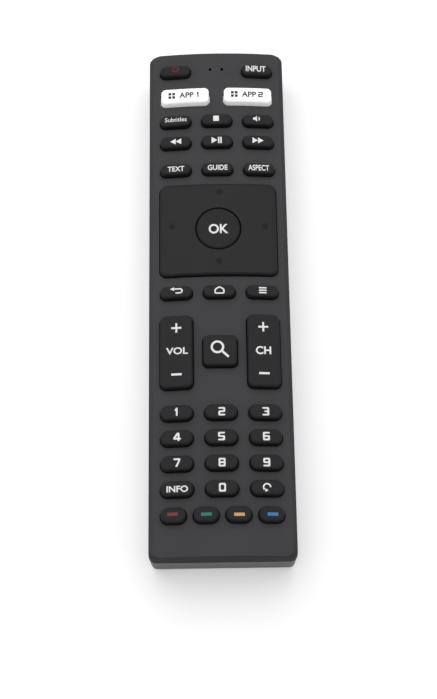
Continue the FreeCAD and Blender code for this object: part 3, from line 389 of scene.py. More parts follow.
def circuit_laminate(name, mask_colour, track_colour):
    """Glass-epoxy laminate under green solder mask: raised copper tracks show as paler lines."""
    material, tree = new_material(name)
    track_pitch = 1.6 * MM
    tracks = add_node(
        tree, "ShaderNodeTexBrick",
        {
            "Vector": object_place(tree), "Scale": 1 / track_pitch, "Mortar Size": 0.09,
            "Brick Width": 3.2, "Row Height": 1.0, "Mortar Smooth": 0.2,
        },
        offset=0.5, squash=1.0,
    ).outputs["Fac"]
    base = add_node(
        tree, "ShaderNodeMix", {"Factor": tracks, MIX_A: mask_colour, MIX_B: track_colour}, data_type="RGBA"
    )
    return surfaced(material, {
        "Base Color": base.outputs[MIX_RESULT],
        "Roughness": spread(tree, grains(tree, 2 * MM), 0.28, 0.4),
        "Normal": relief(tree, tracks, 0.03 * MM),
    })


def printed_sleeve(name, print_colour, band_colour, steel_colour, middle, sleeve_half, band_half):
    """Printed shrink sleeve of a cell: satin print with a pale band, and bare steel at both ends.

    The sleeve and the band reach that far along Y to both sides of the cell's middle.
    """
    material, tree = new_material(name)
    along = add_node(tree, "ShaderNodeSeparateXYZ", {"Vector": object_place(tree)}).outputs["Y"]
    offset = add_node(tree, "ShaderNodeMath", {0: along, 1: middle}, operation="SUBTRACT").outputs[0]
    reach = add_node(tree, "ShaderNodeMath", {0: offset}, operation="ABSOLUTE").outputs[0]
    bare = add_node(tree, "ShaderNodeMath", {0: reach, 1: sleeve_half}, operation="GREATER_THAN").outputs[0]
    banded = add_node(tree, "ShaderNodeMath", {0: reach, 1: band_half}, operation="LESS_THAN").outputs[0]
    printed = add_node(
        tree, "ShaderNodeMix", {"Factor": banded, MIX_A: print_colour, MIX_B: band_colour}, data_type="RGBA"
    ).outputs[MIX_RESULT]
    base = add_node(
        tree, "ShaderNodeMix", {"Factor": bare, MIX_A: printed, MIX_B: steel_colour}, data_type="RGBA"
    ).outputs[MIX_RESULT]
    wrinkles = grains(tree, 1.2 * MM)
    return surfaced(material, {
        "Base Color": base,
        "Metallic": bare,
        "Roughness": spread(tree, wrinkles, 0.24, 0.36),
        "Normal": relief(tree, wrinkles, 0.01 * MM),
    })


def slot_materials():
    """One material for each slot of the record, by slot name."""
    colours = bpy.context.scene.remote_finish
    cell_low, cell_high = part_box("battery_left")
    return {
        # ABS moulded against a spark-eroded tool: a dark grey face that hardly shines, with painted shade on
        # its walls.
        "case_upper": moulded_plastic(
            "moulded_abs_upper", colours.face, colours.grain, rough=(0.64, 0.76), shine=0.1, wall_shade_share=0.35
        ),
        "case_lower": moulded_plastic("moulded_abs_lower", colours.hull, colours.grain, shine=0.5),
        # Silicone keys: a shade darker than the shell, and softer in their highlights, with painted shade on
        # their sides.
        "key_black": silicone_rubber("silicone_key", colours.key, colours.key_grain, wall_shade_share=0.5),
        "silicone": silicone_rubber("silicone_mat", colours.mat, colours.key_grain),
        # White ABS keys, tool-polished: smooth enough to catch a broad highlight.
        "key_white": moulded_plastic(
            "polished_white_abs", colours.bright_key, colours.grain, rough=(0.3, 0.38), depth=0.001 * MM,
            # Painted light: the glow lifts the white keys brighter than their lamps make them.
            mottle=(0.985, 1.0), scatter=0.5, glow=0.3,
        ),
        # The pad is moulded plastic with a soft-touch lacquer, the darkest of the dark parts.
        "pad_black": moulded_plastic(
            "lacquered_pad", colours.pad, colours.key_grain, rough=(0.5, 0.6), depth=0.002 * MM, shine=0.2
        ),
        "window": tinted_window("infrared_acrylic", colours.window),
        "lens_clear": clear_moulding("clear_epoxy_lens", colours.lens, through=0.85),
        "lamp": clear_moulding("frosted_lamp", colours.lamp, through=0.25),
        "light_pipe": clear_moulding("smoked_acrylic", colours.pipe, through=0.1),
        "board": circuit_laminate("solder_mask", colours.mask, colours.tracks),
        "chip": moulded_plastic("epoxy_package", colours.package, grain=0.12 * MM, rough=(0.55, 0.7)),
        "capacitor_sleeve": moulded_plastic(
            "shrunk_sleeve", colours.capacitor, grain=0.5 * MM, rough=(0.2, 0.3)
        ),
        "steel": worked_metal("zinc_plated_steel", colours.steel, scratch=0.4 * MM, rough=(0.28, 0.42)),
        "shield": worked_metal(
            "tin_plate", colours.tin, scratch=0.8 * MM, rough=(0.25, 0.4), stretch=(1.0, 0.15, 1.0)
        ),
        "contact_metal": worked_metal("nickel_strip", colours.nickel, scratch=0.6 * MM, rough=(0.18, 0.3)),
        "cell_sleeve": printed_sleeve(
            "cell_print", colours.sleeve, colours.band, colours.bare_end,
            middle=(cell_low.y + cell_high.y) / 2, sleeve_half=21.6 * MM, band_half=3.5 * MM,
        ),
    }


class RemoteFinishSurfaces(bpy.types.Operator):
    """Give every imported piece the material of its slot"""

    bl_idname = "remote.finish_surfaces"
    bl_label = "Finish Surfaces"

    def execute(self, context):
        made = slot_materials()
        for part in frame["record"]["subparts"]:
            obj = frame["nodes"][part["node"]]
            obj.data.materials.clear()
            obj.data.materials.append(made[part["material_slot"]])
        return {"FINISHED"}


# Outlines of the legends, in metres about the legend's own centre

# Points of each rounded corner of an outline
CORNER_STEPS = 4
# How much of a side one rounded corner may take, as a share of its length
CORNER_REACH = 0.45
# Least cosine of half a corner's turn, past which its mitre grows no longer
MITRE_LIMIT = 0.3


def rounded(points, radius, closed=True):
    """The points of a path whose corners are turned into short curves of about that radius."""
    path = []
    count = len(points)
    for index, point in enumerate(points):
        corner = Vector(point)
        if not closed and index in (0, count - 1):
            path.append(corner)
            continue
        back = Vector(points[index - 1]) - corner
        ahead = Vector(points[(index + 1) % count]) - corner
        start = corner + back.normalized() * min(radius, back.length * CORNER_REACH)
        end = corner + ahead.normalized() * min(radius, ahead.length * CORNER_REACH)
        for step in range(CORNER_STEPS + 1):
            share = step / CORNER_STEPS
            path.append(start * (1 - share) ** 2 + corner * 2 * share * (1 - share) + end * share ** 2)
    return path


def offset_path(points, distance, closed):
    """The path moved sideways, to its left, with mitred corners."""
    last = len(points) - 1
    moved = []
    for index, point in enumerate(points):
        into = (point - points[index - 1]).normalized()
        out = (points[(index + 1) % len(points)] - point).normalized()
        if not closed and index == 0:
            into = out
        if not closed and index == last:
            out = into
        side_in = Vector((-into.y, into.x))
        side_out = Vector((-out.y, out.x))
        side = (side_in + side_out).normalized()
        moved.append(point + side * distance / max(MITRE_LIMIT, side.dot(side_in)))
    return moved


def ribbon(points, width, closed=False, radius=0.0):
    """The outlines of a line of that width along the points."""
    path = rounded(points, radius, closed) if radius else [Vector(point) for point in points]
    left = offset_path(path, width / 2, closed)
    right = offset_path(path, -width / 2, closed)
    return [left, right] if closed else [left + right[::-1]]


def arc(centre, radius, start_deg, end_deg, steps=24):
    """Points along an arc, from one angle to another."""
    angles = [math.radians(start_deg + (end_deg - start_deg) * step / steps) for step in range(steps + 1)]
    return [(centre[0] + radius * math.cos(a), centre[1] + radius * math.sin(a)) for a in angles]


def circle(centre, radius, sides=48):
    """Points round a circle."""
    return arc(centre, radius, 0, 360 - 360 / sides, sides - 1)


def rectangle(centre, width, height):
    """The outline of a rectangle about its centre."""
    x, y = centre
    return [(x - width / 2, y - height / 2), (x + width / 2, y - height / 2),
            (x + width / 2, y + height / 2), (x - width / 2, y + height / 2)]


def zero(width, height, stroke):
    """A squared 0: a box with a hole."""
    return [rectangle((0, 0), width, height), rectangle((0, 0), width - 2 * stroke, height - 2 * stroke)]


def one(width, height, stroke):
    """A 1: an upright with a flag that falls to the left."""
    y, half = height / 2, stroke / 2
    flag_tip = -0.31 * width
    flag_top, flag_bottom, flag_root = 0.25 * height, 0.07 * height, 0.21 * height
    return [[(-half, -y), (half, -y), (half, y), (-0.6 * half, y), (flag_tip, flag_top),
             (flag_tip, flag_bottom), (-half, flag_root)]]


def two(width, height, stroke):
    """A squared 2, from its top left corner."""
    x, y = width / 2, height / 2
    inner_x, inner_y, half = x - stroke, y - stroke, stroke / 2
    return [[(-x, y), (x, y), (x, -half), (-inner_x, -half), (-inner_x, -inner_y), (x, -inner_y),
             (x, -y), (-x, -y), (-x, half), (inner_x, half), (inner_x, inner_y), (-x, inner_y)]]


def three(width, height, stroke):
    """A squared 3, whose middle bar is shorter than the other two."""
    x, y = width / 2, height / 2
    inner_x, inner_y, half = x - stroke, y - stroke, stroke / 2
    bar_start = -0.2 * width
    return [[(-x, y), (x, y), (x, -y), (-x, -y), (-x, -inner_y), (inner_x, -inner_y), (inner_x, -half),
             (bar_start, -half), (bar_start, half), (inner_x, half), (inner_x, inner_y), (-x, inner_y)]]


def four(width, height, stroke):
    """A 4: an upright with a bar across it, and a slope that closes a hole with three corners."""
    x, y, half = width / 2, height / 2, stroke / 2
    left = 0.3 * x
    right = left + stroke
    bar_foot = -0.62 * y
    bar_top = bar_foot + stroke
    outline = [(left, -y), (right, -y), (right, bar_foot), (x + half, bar_foot), (x + half, bar_top),
               (right, bar_top), (right, y), (left - half, y), (-x, bar_top), (-x, bar_foot),
               (left, bar_foot)]
    hole = [(left, bar_top), (left, 0.42 * y), (-0.42 * x, bar_top)]
    return [outline, hole]


def six(width, height, stroke):
    """A squared 6: its outline and the hole in it. The middle bar is a little heavier below."""
    x, y = width / 2, height / 2
    inner_x, inner_y, bar_top = x - stroke, y - stroke, 0.55 * stroke
    outline = [(-x, y), (x, y), (x, inner_y), (-inner_x, inner_y), (-inner_x, bar_top), (x, bar_top),
               (x, -y), (-x, -y)]
    hole_top = bar_top - stroke
    hole = rectangle((0, (hole_top - inner_y) / 2), 2 * inner_x, inner_y + hole_top)
    return [outline, hole]


def seven(width, height, stroke):
    """A 7: a bar with a slope that falls from its right end."""
    x, y = width / 2, height / 2
    bar_foot = y - stroke
    return [[(-x, y), (x, y), (x, bar_foot), (0.3 * stroke, -y), (-stroke, -y), (x - stroke, bar_foot),
             (-x, bar_foot)]]


def eight(width, height, stroke):
    """A squared 8: a box with two holes."""
    inner_x, inner_y, half = width / 2 - stroke, height / 2 - stroke, stroke / 2
    middle = (inner_y + half) / 2
    holes = [rectangle((0, side * middle), 2 * inner_x, inner_y - half) for side in (1, -1)]
    return [rectangle((0, 0), width, height)] + holes


# Each digit's shape, and the factors of a digit that is another one mirrored, across and along
DIGIT_SHAPES = {
    "0": zero, "1": one, "2": two, "3": three, "4": four,
    "5": two, "6": six, "7": seven, "8": eight, "9": six,
}
MIRRORED = {"5": (-1, 1), "9": (-1, -1)}

# Rounding of a digit's corners, as a share of its line width
DIGIT_ROUNDING = 0.9


def digit(character, share=1.0):
    """The outlines of one digit, at full size or at a share of it."""
    sizes = bpy.context.scene.remote_print
    stroke = share * sizes.digit_stroke
    outlines = DIGIT_SHAPES[character](share * sizes.digit_width, share * sizes.digit_height, stroke)
    across, along = MIRRORED.get(character, (1, 1))
    placed = [[(across * x, along * y) for x, y in outline] for outline in outlines]
    return [rounded(outline, DIGIT_ROUNDING * stroke) for outline in placed]


def power_symbol(size):
    """An open ring with a short upright in its gap."""
    line = 0.16 * size
    gap_start, gap_end = 58, 122
    open_ring = arc((0, -0.06 * size), (size - line) / 2, gap_end, gap_start + 360)
    upright = rectangle((0, 0.27 * size), line, 0.46 * size)
    return ribbon(open_ring, line) + [upright]


def arrowhead(tip, depth, half_height):
    """A triangle that points along X, to the right where depth is above zero."""
    x, y = tip
    return [(x, y), (x - depth, y + half_height), (x - depth, y - half_height)]


def wind_symbol(width, height, direction):
    """Two arrowheads one after the other."""
    return [arrowhead((direction * width / 2, 0), direction * width / 2, height / 2),
            arrowhead((0, 0), direction * width / 2, height / 2)]


def play_pause_symbol(width, height):
    """An arrowhead to the right and two bars after it."""
    head = arrowhead((0.06 * width, 0), 0.56 * width, height / 2)
    bars = [rectangle((place * width, 0), 0.15 * width, height) for place in (0.2, 0.425)]
    return [head] + bars


def speaker_symbol(size, stroke):
    """A loudspeaker from the side, with one wave before its mouth."""
    back, neck, mouth = -0.5 * size, -0.25 * size, 0.08 * size
    box_half, mouth_half = 0.17 * size, 0.48 * size
    body = [(back, -box_half), (neck, -box_half), (mouth, -mouth_half), (mouth, mouth_half),
            (neck, box_half), (back, box_half)]
    wave = arc((mouth, 0), 0.34 * size, -48, 48, 10)
    return [body] + ribbon(wave, 0.6 * stroke)


def back_symbol(width, height, stroke):
    """A line that turns back on itself and ends in an arrowhead to the left."""
    radius = (height - stroke) / 2
    bend = (width / 2 - radius - stroke / 2, 0)
    line = [(-0.14 * width, radius)] + arc(bend, radius, 90, -90, 12) + [(-0.06 * width, -radius)]
    return ribbon(line, stroke) + [arrowhead((-width / 2, radius), -0.34 * width, 1.35 * stroke)]


def home_symbol(width, height, stroke):
    """The front of a house with a gable, as one closed line."""
    x, y = (width - stroke) / 2, (height - stroke) / 2
    eaves = 0.15 * y
    return ribbon([(-x, -y), (x, -y), (x, eaves), (0, y), (-x, eaves)], stroke, closed=True, radius=stroke)


def menu_symbol(width, height):
    """Three bars with softened corners, one above the other."""
    bar = 0.22 * height
    step = (height - bar) / 2
    return [rounded(rectangle((0, level * step), width, bar), 0.2 * bar) for level in (-1, 0, 1)]


def plus_symbol(size, stroke):
    """An upright cross."""
    a, b = size / 2, stroke / 2
    return [[(-b, -a), (b, -a), (b, -b), (a, -b), (a, b), (b, b),
             (b, a), (-b, a), (-b, b), (-a, b), (-a, -b), (-b, -b)]]


def lens_symbol(outer, inner, centre, tip, stroke):
    """A magnifying glass: a ring, and a handle out to its tip."""
    towards = (Vector(tip) - Vector(centre)).normalized()
    handle = ribbon([Vector(centre) + towards * outer, tip], stroke)
    return [circle(centre, outer), circle(centre, inner)] + handle


def recall_symbol(size, stroke):
    """An open ring that ends in an arrowhead at its foot."""
    radius = (size - stroke) / 2
    turn = arc((0, 0), radius, 0, 226, 28)
    head = arrowhead((0.4 * radius, -0.9 * radius), 0.9 * radius, 1.2 * stroke)
    return ribbon(turn, stroke) + [head]


def app_grid_symbol(size):
    """Four squares, two by two."""
    cell = 0.42 * size
    step = (size - cell) / 2
    return [rectangle((x, y), cell, cell) for x in (-step, step) for y in (-step, step)]


# Printing

# Height above a key from which its print is laid down
DROP_HEIGHT = 1 * MM


def select_only(*objects):
    """Leaves only these objects selected, with the first one active."""
    bpy.ops.object.select_all(action="DESELECT")
    for obj in objects:
        obj.select_set(True)
    bpy.context.view_layer.objects.active = objects[0]


def drawn_curve(name, lines, dimensions, closed):
    """A curve object whose lines run straight from point to point, selected and active."""
    bpy.ops.object.select_all(action="DESELECT")
    bpy.ops.curve.primitive_bezier_circle_add()
    drawn = bpy.context.object
    drawn.name = name
    drawn.data.splines.clear()
    drawn.data.dimensions = dimensions
    for points in lines:
        line = drawn.data.splines.new("POLY")
        line.points.add(len(points) - 1)
        line.use_cyclic_u = closed
        for point, place in zip(line.points, points):
            point.co = Vector(place).to_4d()
    return drawn


def make_pliable():
    """Divides the faces of the active mesh, so that it can follow a crowned key."""
    bpy.ops.object.mode_set(mode="EDIT")
    bpy.ops.mesh.select_all(action="SELECT")
    bpy.ops.mesh.subdivide(number_cuts=3)
    bpy.ops.object.mode_set(mode="OBJECT")


def flat_shape(name, outlines):
    """A flat filled mesh from closed outlines, where an outline inside another is a hole."""
    shape = drawn_curve(name, outlines, "2D", closed=True)
    shape.data.fill_mode = "BOTH"
    bpy.ops.object.convert(target="MESH")
    make_pliable()
    return shape


def flat_words(name, words, width, height, boldness=1.0):
    """Flat lettering of that width and height, centred on the origin."""
    bpy.ops.object.select_all(action="DESELECT")
    bpy.ops.object.text_add()
    text = bpy.context.object
    text.name = name
    text.data.body = words
    text.data.size = 1.0
    text.data.offset = bpy.context.scene.remote_print.bold * boldness
    bpy.ops.object.convert(target="MESH")
    low = Vector(min(v.co[axis] for v in text.data.vertices) for axis in (0, 1))
    high = Vector(max(v.co[axis] for v in text.data.vertices) for axis in (0, 1))
    centre = (low + high) / 2
    stretch = Matrix.Diagonal((width / (high.x - low.x), height / (high.y - low.y), 1, 1))
    text.data.transform(stretch @ Matrix.Translation((-centre.x, -centre.y, 0)))
    make_pliable()
    return text


def print_on(shape, node, ink, across=0.0, along=0.0):
    """Lays a flat shape on a key as print, that many millimetres from the key's middle."""
    low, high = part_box(node)
    centre = (low + high) / 2
    select_only(shape)
    shape.location = (centre.x + across * MM, centre.y + along * MM, high.z + DROP_HEIGHT)
    bpy.ops.object.transform_apply(location=True, rotation=True, scale=True)
    wrap = shape.modifiers.new("lay_down", "SHRINKWRAP")
    wrap.target = frame["nodes"][node]
    wrap.wrap_method = "PROJECT"
    wrap.use_project_z = True
    wrap.use_negative_direction = True
    wrap.use_positive_direction = False
    bpy.ops.object.modifier_apply(modifier=wrap.name)
    thickness = shape.modifiers.new("ink", "SOLIDIFY")
    thickness.thickness = 2 * bpy.context.scene.remote_print.ink_height
    thickness.offset = 0.0
    bpy.ops.object.modifier_apply(modifier=thickness.name)
    shape.data.materials.clear()
    shape.data.materials.append(ink)
    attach(shape, node)


def ink_material(setting):
    """The ink of that setting, made once."""
    name = "print_" + setting
    colours = bpy.context.scene.remote_finish
    return bpy.data.materials.get(name) or printed_ink(name, getattr(colours, setting))


class RemotePrintWords(bpy.types.Operator):
    """Print the words on the function keys"""

    bl_idname = "remote.print_words"
    bl_label = "Print Words"

    # Key, word, width, height, place on the key (to the right, towards the far end) in millimetres,
    # and boldness
    WORDS = (
        ("key_input", "INPUT", 7.0, 2.3, -0.25, 0.2, 1.2),
        ("key_subtitles", "Subtitles", 7.5, 1.65, 0.1, 0.25, 0.45),
        ("key_text", "TEXT", 5.7, 1.95, 0.1, 0.0, 1.2),
        ("key_guide", "GUIDE", 6.75, 2.0, 0.1, 0.0, 1.2),
        ("key_aspect", "ASPECT", 7.15, 2.15, -0.1, 0.0, 1.0),
        ("key_ok", "OK", 6.6, 3.5, 0.1, -0.3, 1.2),
        ("rocker_volume", "VOL", 7.15, 2.4, 0.2, 0.05, 1.2),
        ("rocker_channel", "CH", 5.0, 2.8, -0.1, -0.15, 1.4),
        ("key_info", "INFO", 6.8, 2.1, 0.1, -0.2, 1.4),
    )

    def execute(self, context):
        for node, word, width, height, across, along, boldness in self.WORDS:
            words = flat_words("print_" + word.lower(), word, width * MM, height * MM, boldness)
            print_on(words, node, ink_material("ink"), across, along)
        return {"FINISHED"}


class RemotePrintDigits(bpy.types.Operator):
    """Print the digits on the number keys"""

    bl_idname = "remote.print_digits"
    bl_label = "Print Digits"

    # Digit and its place on the key, to the right and towards the far end, in millimetres
    DIGITS = (
        ("1", 0.05, 0.1), ("2", 0.25, -0.15), ("3", 0.1, -0.15), ("4", 0.0, 0.1), ("5", 0.05, -0.05),
        ("6", 0.1, -0.05), ("7", 0.0, 0.0), ("8", 0.1, -0.25), ("9", 0.0, -0.25), ("0", 0.1, -0.05),
    )

    def execute(self, context):
        for character, across, along in self.DIGITS:
            shape = flat_shape("print_digit_" + character, digit(character))
            print_on(shape, "key_" + character, ink_material("ink"), across, along)
        return {"FINISHED"}


class RemotePrintSymbols(bpy.types.Operator):
    """Print the symbols on the function keys, the rockers and the colour keys"""

    bl_idname = "remote.print_symbols"
    bl_label = "Print Symbols"

    # Colour and its place on the key, to the right and towards the far end, in millimetres
    COLOUR_BARS = (("red", -0.15, 0.2), ("green", 0.1, -0.1), ("yellow", 0.15, -0.3), ("blue", 0.3, -0.2))
    # Side of the navigation pad, and place from its middle in millimetres
    DOTS = (("far", 0.5, 13.5), ("near", 0.1, -12.1), ("left", -15.5, 1.2), ("right", 15.7, 0.9))
    # Distance of a rocker's plus and minus from its middle, in millimetres
    ROCKER_SIGN = 8.05

    def execute(self, context):
        self.print_keys(context.scene.remote_print.stroke)
        self.print_rockers(context.scene.remote_print.stroke)
        self.print_pad()
        return {"FINISHED"}

    def print_keys(self, stroke):
        """The symbols of single keys, and the bars of the colour keys."""
        white = ink_material("ink")
        thin = 0.8 * stroke
        lens = lens_symbol(
            outer=2.2 * MM, inner=1.5 * MM, centre=(-0.85 * MM, 1.0 * MM), tip=(2.75 * MM, -2.45 * MM),
            stroke=0.75 * MM,
        )
        # Symbol, key, outlines, place on the key (to the right, towards the far end) in millimetres, ink
        symbols = [
            ("power", "key_power", power_symbol(2.4 * MM), 0.0, 0.6, ink_material("power_ink")),
            ("stop", "key_stop", [rectangle((0, 0), 1.95 * MM, 2.05 * MM)], -0.2, 0.15, white),
            ("speaker", "key_mute", speaker_symbol(2.4 * MM, stroke), -0.45, 0.15, white),
            ("rewind", "key_rewind", wind_symbol(3.8 * MM, 2.2 * MM, -1), 0.05, 0.0, white),
            ("play_pause", "key_play_pause", play_pause_symbol(3.5 * MM, 2.4 * MM), -0.1, 0.0, white),
            ("fast_forward", "key_fast_forward", wind_symbol(3.8 * MM, 2.2 * MM, 1), -0.1, 0.0, white),
            ("back", "key_back", back_symbol(4.3 * MM, 1.9 * MM, thin), 0.05, 0.25, white),
            ("home", "key_home", home_symbol(3.4 * MM, 2.75 * MM, thin), 0.1, 0.15, white),
            ("menu", "key_menu", menu_symbol(2.5 * MM, 2.2 * MM), 0.15, 0.1, white),
            ("search", "key_search", lens, 0.0, 0.0, white),
            ("recall", "key_recall", recall_symbol(2.7 * MM, thin), -0.1, 0.0, white),
        ]
        bar = [rectangle((0, 0), 3.3 * MM, 1.05 * MM)]
        for colour, across, along in self.COLOUR_BARS:
            ink = ink_material(colour + "_ink")
            symbols.append((colour + "_bar", "key_" + colour, bar, across, along, ink))
        for name, node, outlines, across, along, ink in symbols:
            print_on(flat_shape("print_" + name, outlines), node, ink, across, along)

    def print_rockers(self, stroke):
        """A plus at the far end of each rocker and a minus at its near end."""
        white = ink_material("ink")
        for side in ("volume", "channel"):
            plus = flat_shape("print_%s_plus" % side, plus_symbol(3.3 * MM, stroke))
            print_on(plus, "rocker_" + side, white, along=self.ROCKER_SIGN)
            minus = flat_shape("print_%s_minus" % side, [rectangle((0, 0), 3.4 * MM, 1.2 * stroke)])
            print_on(minus, "rocker_" + side, white, along=-self.ROCKER_SIGN)

    def print_pad(self):
        """A dark dot at each side of the navigation pad."""
        for name, across, along in self.DOTS:
            dot = flat_shape("print_dot_" + name, [circle((0, 0), 1.1 * MM, sides=24)])
            print_on(dot, "navigation_pad", ink_material("dot_ink"), across, along)


class RemotePrintWhiteKeys(bpy.types.Operator):
    """Print a plain grid of squares and a number on each white key"""

    bl_idname = "remote.print_white_keys"
    bl_label = "Print White Keys"

    def execute(self, context):
        ink = ink_material("dark_ink")
        for number in (1, 2):
            node = "key_app_%d" % number
            grid = flat_shape("print_app_grid_%d" % number, app_grid_symbol(2.3 * MM))
            print_on(grid, node, ink, across=-4.6)
            word = flat_words("print_app_word_%d" % number, "APP", 5.0 * MM, 2.1 * MM)
            print_on(word, node, ink, across=0.5)
            count = flat_shape("print_app_number_%d" % number, digit(str(number), share=0.75))
            print_on(count, node, ink, across=4.5)
        return {"FINISHED"}


# Battery contacts

# Bevel of the edges of stamped sheet
BROKEN_EDGE = 0.1 * MM
# Sides of the pressed button, and how much of its height is rounded off
BUTTON_SIDES = 48
BUTTON_ROUNDING = 0.35
# Turns at each end of a spring that lie flat, and points of one turn
CLOSED_TURNS = 0.8
STEPS_OF_A_TURN = 28


def strip(name, low, high):
    """A piece of sheet metal between two corners, with its edges broken."""
    bpy.ops.object.select_all(action="DESELECT")
    bpy.ops.mesh.primitive_cube_add(size=1)
    piece = bpy.context.object
    piece.name = name
    bpy.ops.object.mode_set(mode="EDIT")
    bpy.ops.mesh.select_all(action="SELECT")
    bpy.ops.transform.resize(value=high - low)
    bpy.ops.transform.translate(value=(low + high) / 2)
    bpy.ops.mesh.bevel(offset=BROKEN_EDGE, segments=2)
    bpy.ops.object.mode_set(mode="OBJECT")
    return piece


def pressed_button(name, place, diameter, height):
    """A round button with a rounded top, that stands out of a plate along Y."""
    bpy.ops.object.select_all(action="DESELECT")
    bpy.ops.mesh.primitive_cylinder_add(
        vertices=BUTTON_SIDES, radius=diameter / 2, depth=height, rotation=(math.pi / 2, 0, 0)
    )
    piece = bpy.context.object
    piece.name = name
    bpy.ops.object.transform_apply(location=True, rotation=True, scale=True)
    bpy.ops.object.mode_set(mode="EDIT")
    bpy.ops.mesh.select_all(action="SELECT")
    bpy.ops.transform.translate(value=place + Vector((0, height / 2, 0)))
    bpy.ops.mesh.bevel(offset=height * BUTTON_ROUNDING, segments=3)
    bpy.ops.object.mode_set(mode="OBJECT")
    return piece


def wound_spring(name, foot, direction, length):
    """A conical spring wound along Y, with its first and last turn closed against what it presses."""
    sizes = bpy.context.scene.remote_contacts
    steps = round(sizes.coils * STEPS_OF_A_TURN)
    points = []
    for step in range(steps + 1):
        turn = sizes.coils * step / steps
        rise = min(max((turn - CLOSED_TURNS) / (sizes.coils - 2 * CLOSED_TURNS), 0), 1)
        radius = (sizes.spring_foot * (1 - rise) + sizes.spring_tip * rise - sizes.wire) / 2
        along = sizes.wire / 2 + (length - sizes.wire) * rise
        angle = math.tau * turn
        points.append(foot + Vector((radius * math.cos(angle), direction * along, radius * math.sin(angle))))
    spring = drawn_curve(name, [points], "3D", closed=False)
    spring.data.bevel_depth = sizes.wire / 2
    spring.data.bevel_resolution = 3
    spring.data.use_fill_caps = True
    bpy.ops.object.convert(target="MESH")
    return spring


def joined(name, *pieces):
    """The pieces as one object."""
    select_only(*pieces)
    bpy.ops.object.join()
    pieces[0].name = name
    return pieces[0]


def negative_contact():
    """The single negative contact: a plate with its solder tab, and a spring towards the near end."""
    sizes = bpy.context.scene.remote_contacts
    low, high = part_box("contact_negative")
    face = high.y - sizes.sheet
    middle = (low.x + high.x) / 2
    level = low.z + sizes.plate_height / 2
    half_tab = sizes.tab_width / 2
    return joined(
        "stamped_negative_contact",
        strip("plate", Vector((low.x, face, low.z)), Vector((high.x, high.y, low.z + sizes.plate_height))),
        strip("tab", Vector((middle - half_tab, face, level)), Vector((middle + half_tab, high.y, high.z))),
        wound_spring("spring", Vector((middle, face, level)), -1, face - low.y),
    )


def link_contact():
    """The contact that links the cells: one plate with a solder tab, a spring and a pressed button."""
    sizes = bpy.context.scene.remote_contacts
    low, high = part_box("contact_link")
    face = low.y + sizes.sheet
    level = low.z + sizes.plate_height / 2
    spring_x = low.x + sizes.plate_width / 2
    button_x = high.x - sizes.plate_width / 2
    half_tab = sizes.tab_width / 2
    return joined(
        "stamped_link_contact",
        strip("plate", low, Vector((high.x, face, low.z + sizes.plate_height))),
        strip("tab", Vector((-half_tab, low.y, level)), Vector((half_tab, face, high.z))),
        wound_spring("spring", Vector((spring_x, face, level)), 1, high.y - face),
        pressed_button("button", Vector((button_x, face, level)), sizes.dimple, sizes.dimple_height),
    )


class RemoteWindSprings(bpy.types.Operator):
    """Replace the two spring contacts with stamped plates that carry wound springs"""

    bl_idname = "remote.wind_springs"
    bl_label = "Wind Springs"

    def execute(self, context):
        for piece, node in ((negative_contact(), "contact_negative"), (link_contact(), "contact_link")):
            piece.data.materials.clear()
            piece.data.materials.append(frame["nodes"][node].data.materials[0])
            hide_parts(node)
            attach(piece, "root")
        return {"FINISHED"}


# Studio

# The paper's width, and its height above the resting plane
PAPER_WIDTH = 6.0
PAPER_LIFT = 0.02 * MM
# Distances from the middle over which the paper fades to plain white
FADE_START = 0.18
FADE_END = 0.45
# The Y of a direction at which the room is darkest, and at which it is bright
DARK_SIDE = -0.8
BRIGHT_SIDE = 0.1
# The lamp overhead, and the one under the floor that stands for light bounced off the table
OVERHEAD_SIZE = 0.7
OVERHEAD_PLACE = (-0.05, 0.22, 0.62)
BOUNCE_SIZE = 0.8
BOUNCE_POWER = 0.7
BOUNCE_PLACE = (0.0, 0.0, -0.5)


class RemoteStage(bpy.types.Operator):
    """Lay the pale floor, hang the lamps and stand the camera at the photograph's angle"""

    bl_idname = "remote.stage"
    bl_label = "Studio"

    def execute(self, context):
        pale_floor()
        studio_light()
        photograph_camera()
        return {"FINISHED"}


def any_ray(tree, *kinds):
    """1 for rays of any of these kinds, and 0 for the others."""
    path = add_node(tree, "ShaderNodeLightPath").outputs
    found = path["Is %s Ray" % kinds[0]]
    for kind in kinds[1:]:
        either = {0: found, 1: path["Is %s Ray" % kind]}
        found = add_node(tree, "ShaderNodeMath", either, operation="MAXIMUM").outputs[0]
    return found


def lit_paper(tree, seen):
    """Uncoated white paper: quite matt, with faint fibres, and lifted to white for rays that see it."""
    fibres = grains(tree, 2 * MM)
    paper = add_node(
        tree, "ShaderNodeBsdfPrincipled",
        {
            "Base Color": shade(tree, linear("#f4f4f6"), spread(tree, fibres, 0.99, 1.0)),
            "Roughness": 0.9,
            "Specular IOR Level": 0.0,
        },
    )
    level = bpy.context.scene.remote_studio.glow
    strength = add_node(tree, "ShaderNodeMath", {0: seen, 1: level}, operation="MULTIPLY").outputs[0]
    glow = add_node(tree, "ShaderNodeEmission", {"Color": WHITE, "Strength": strength})
    return add_node(tree, "ShaderNodeAddShader", {0: paper.outputs[0], 1: glow.outputs[0]}).outputs[0]


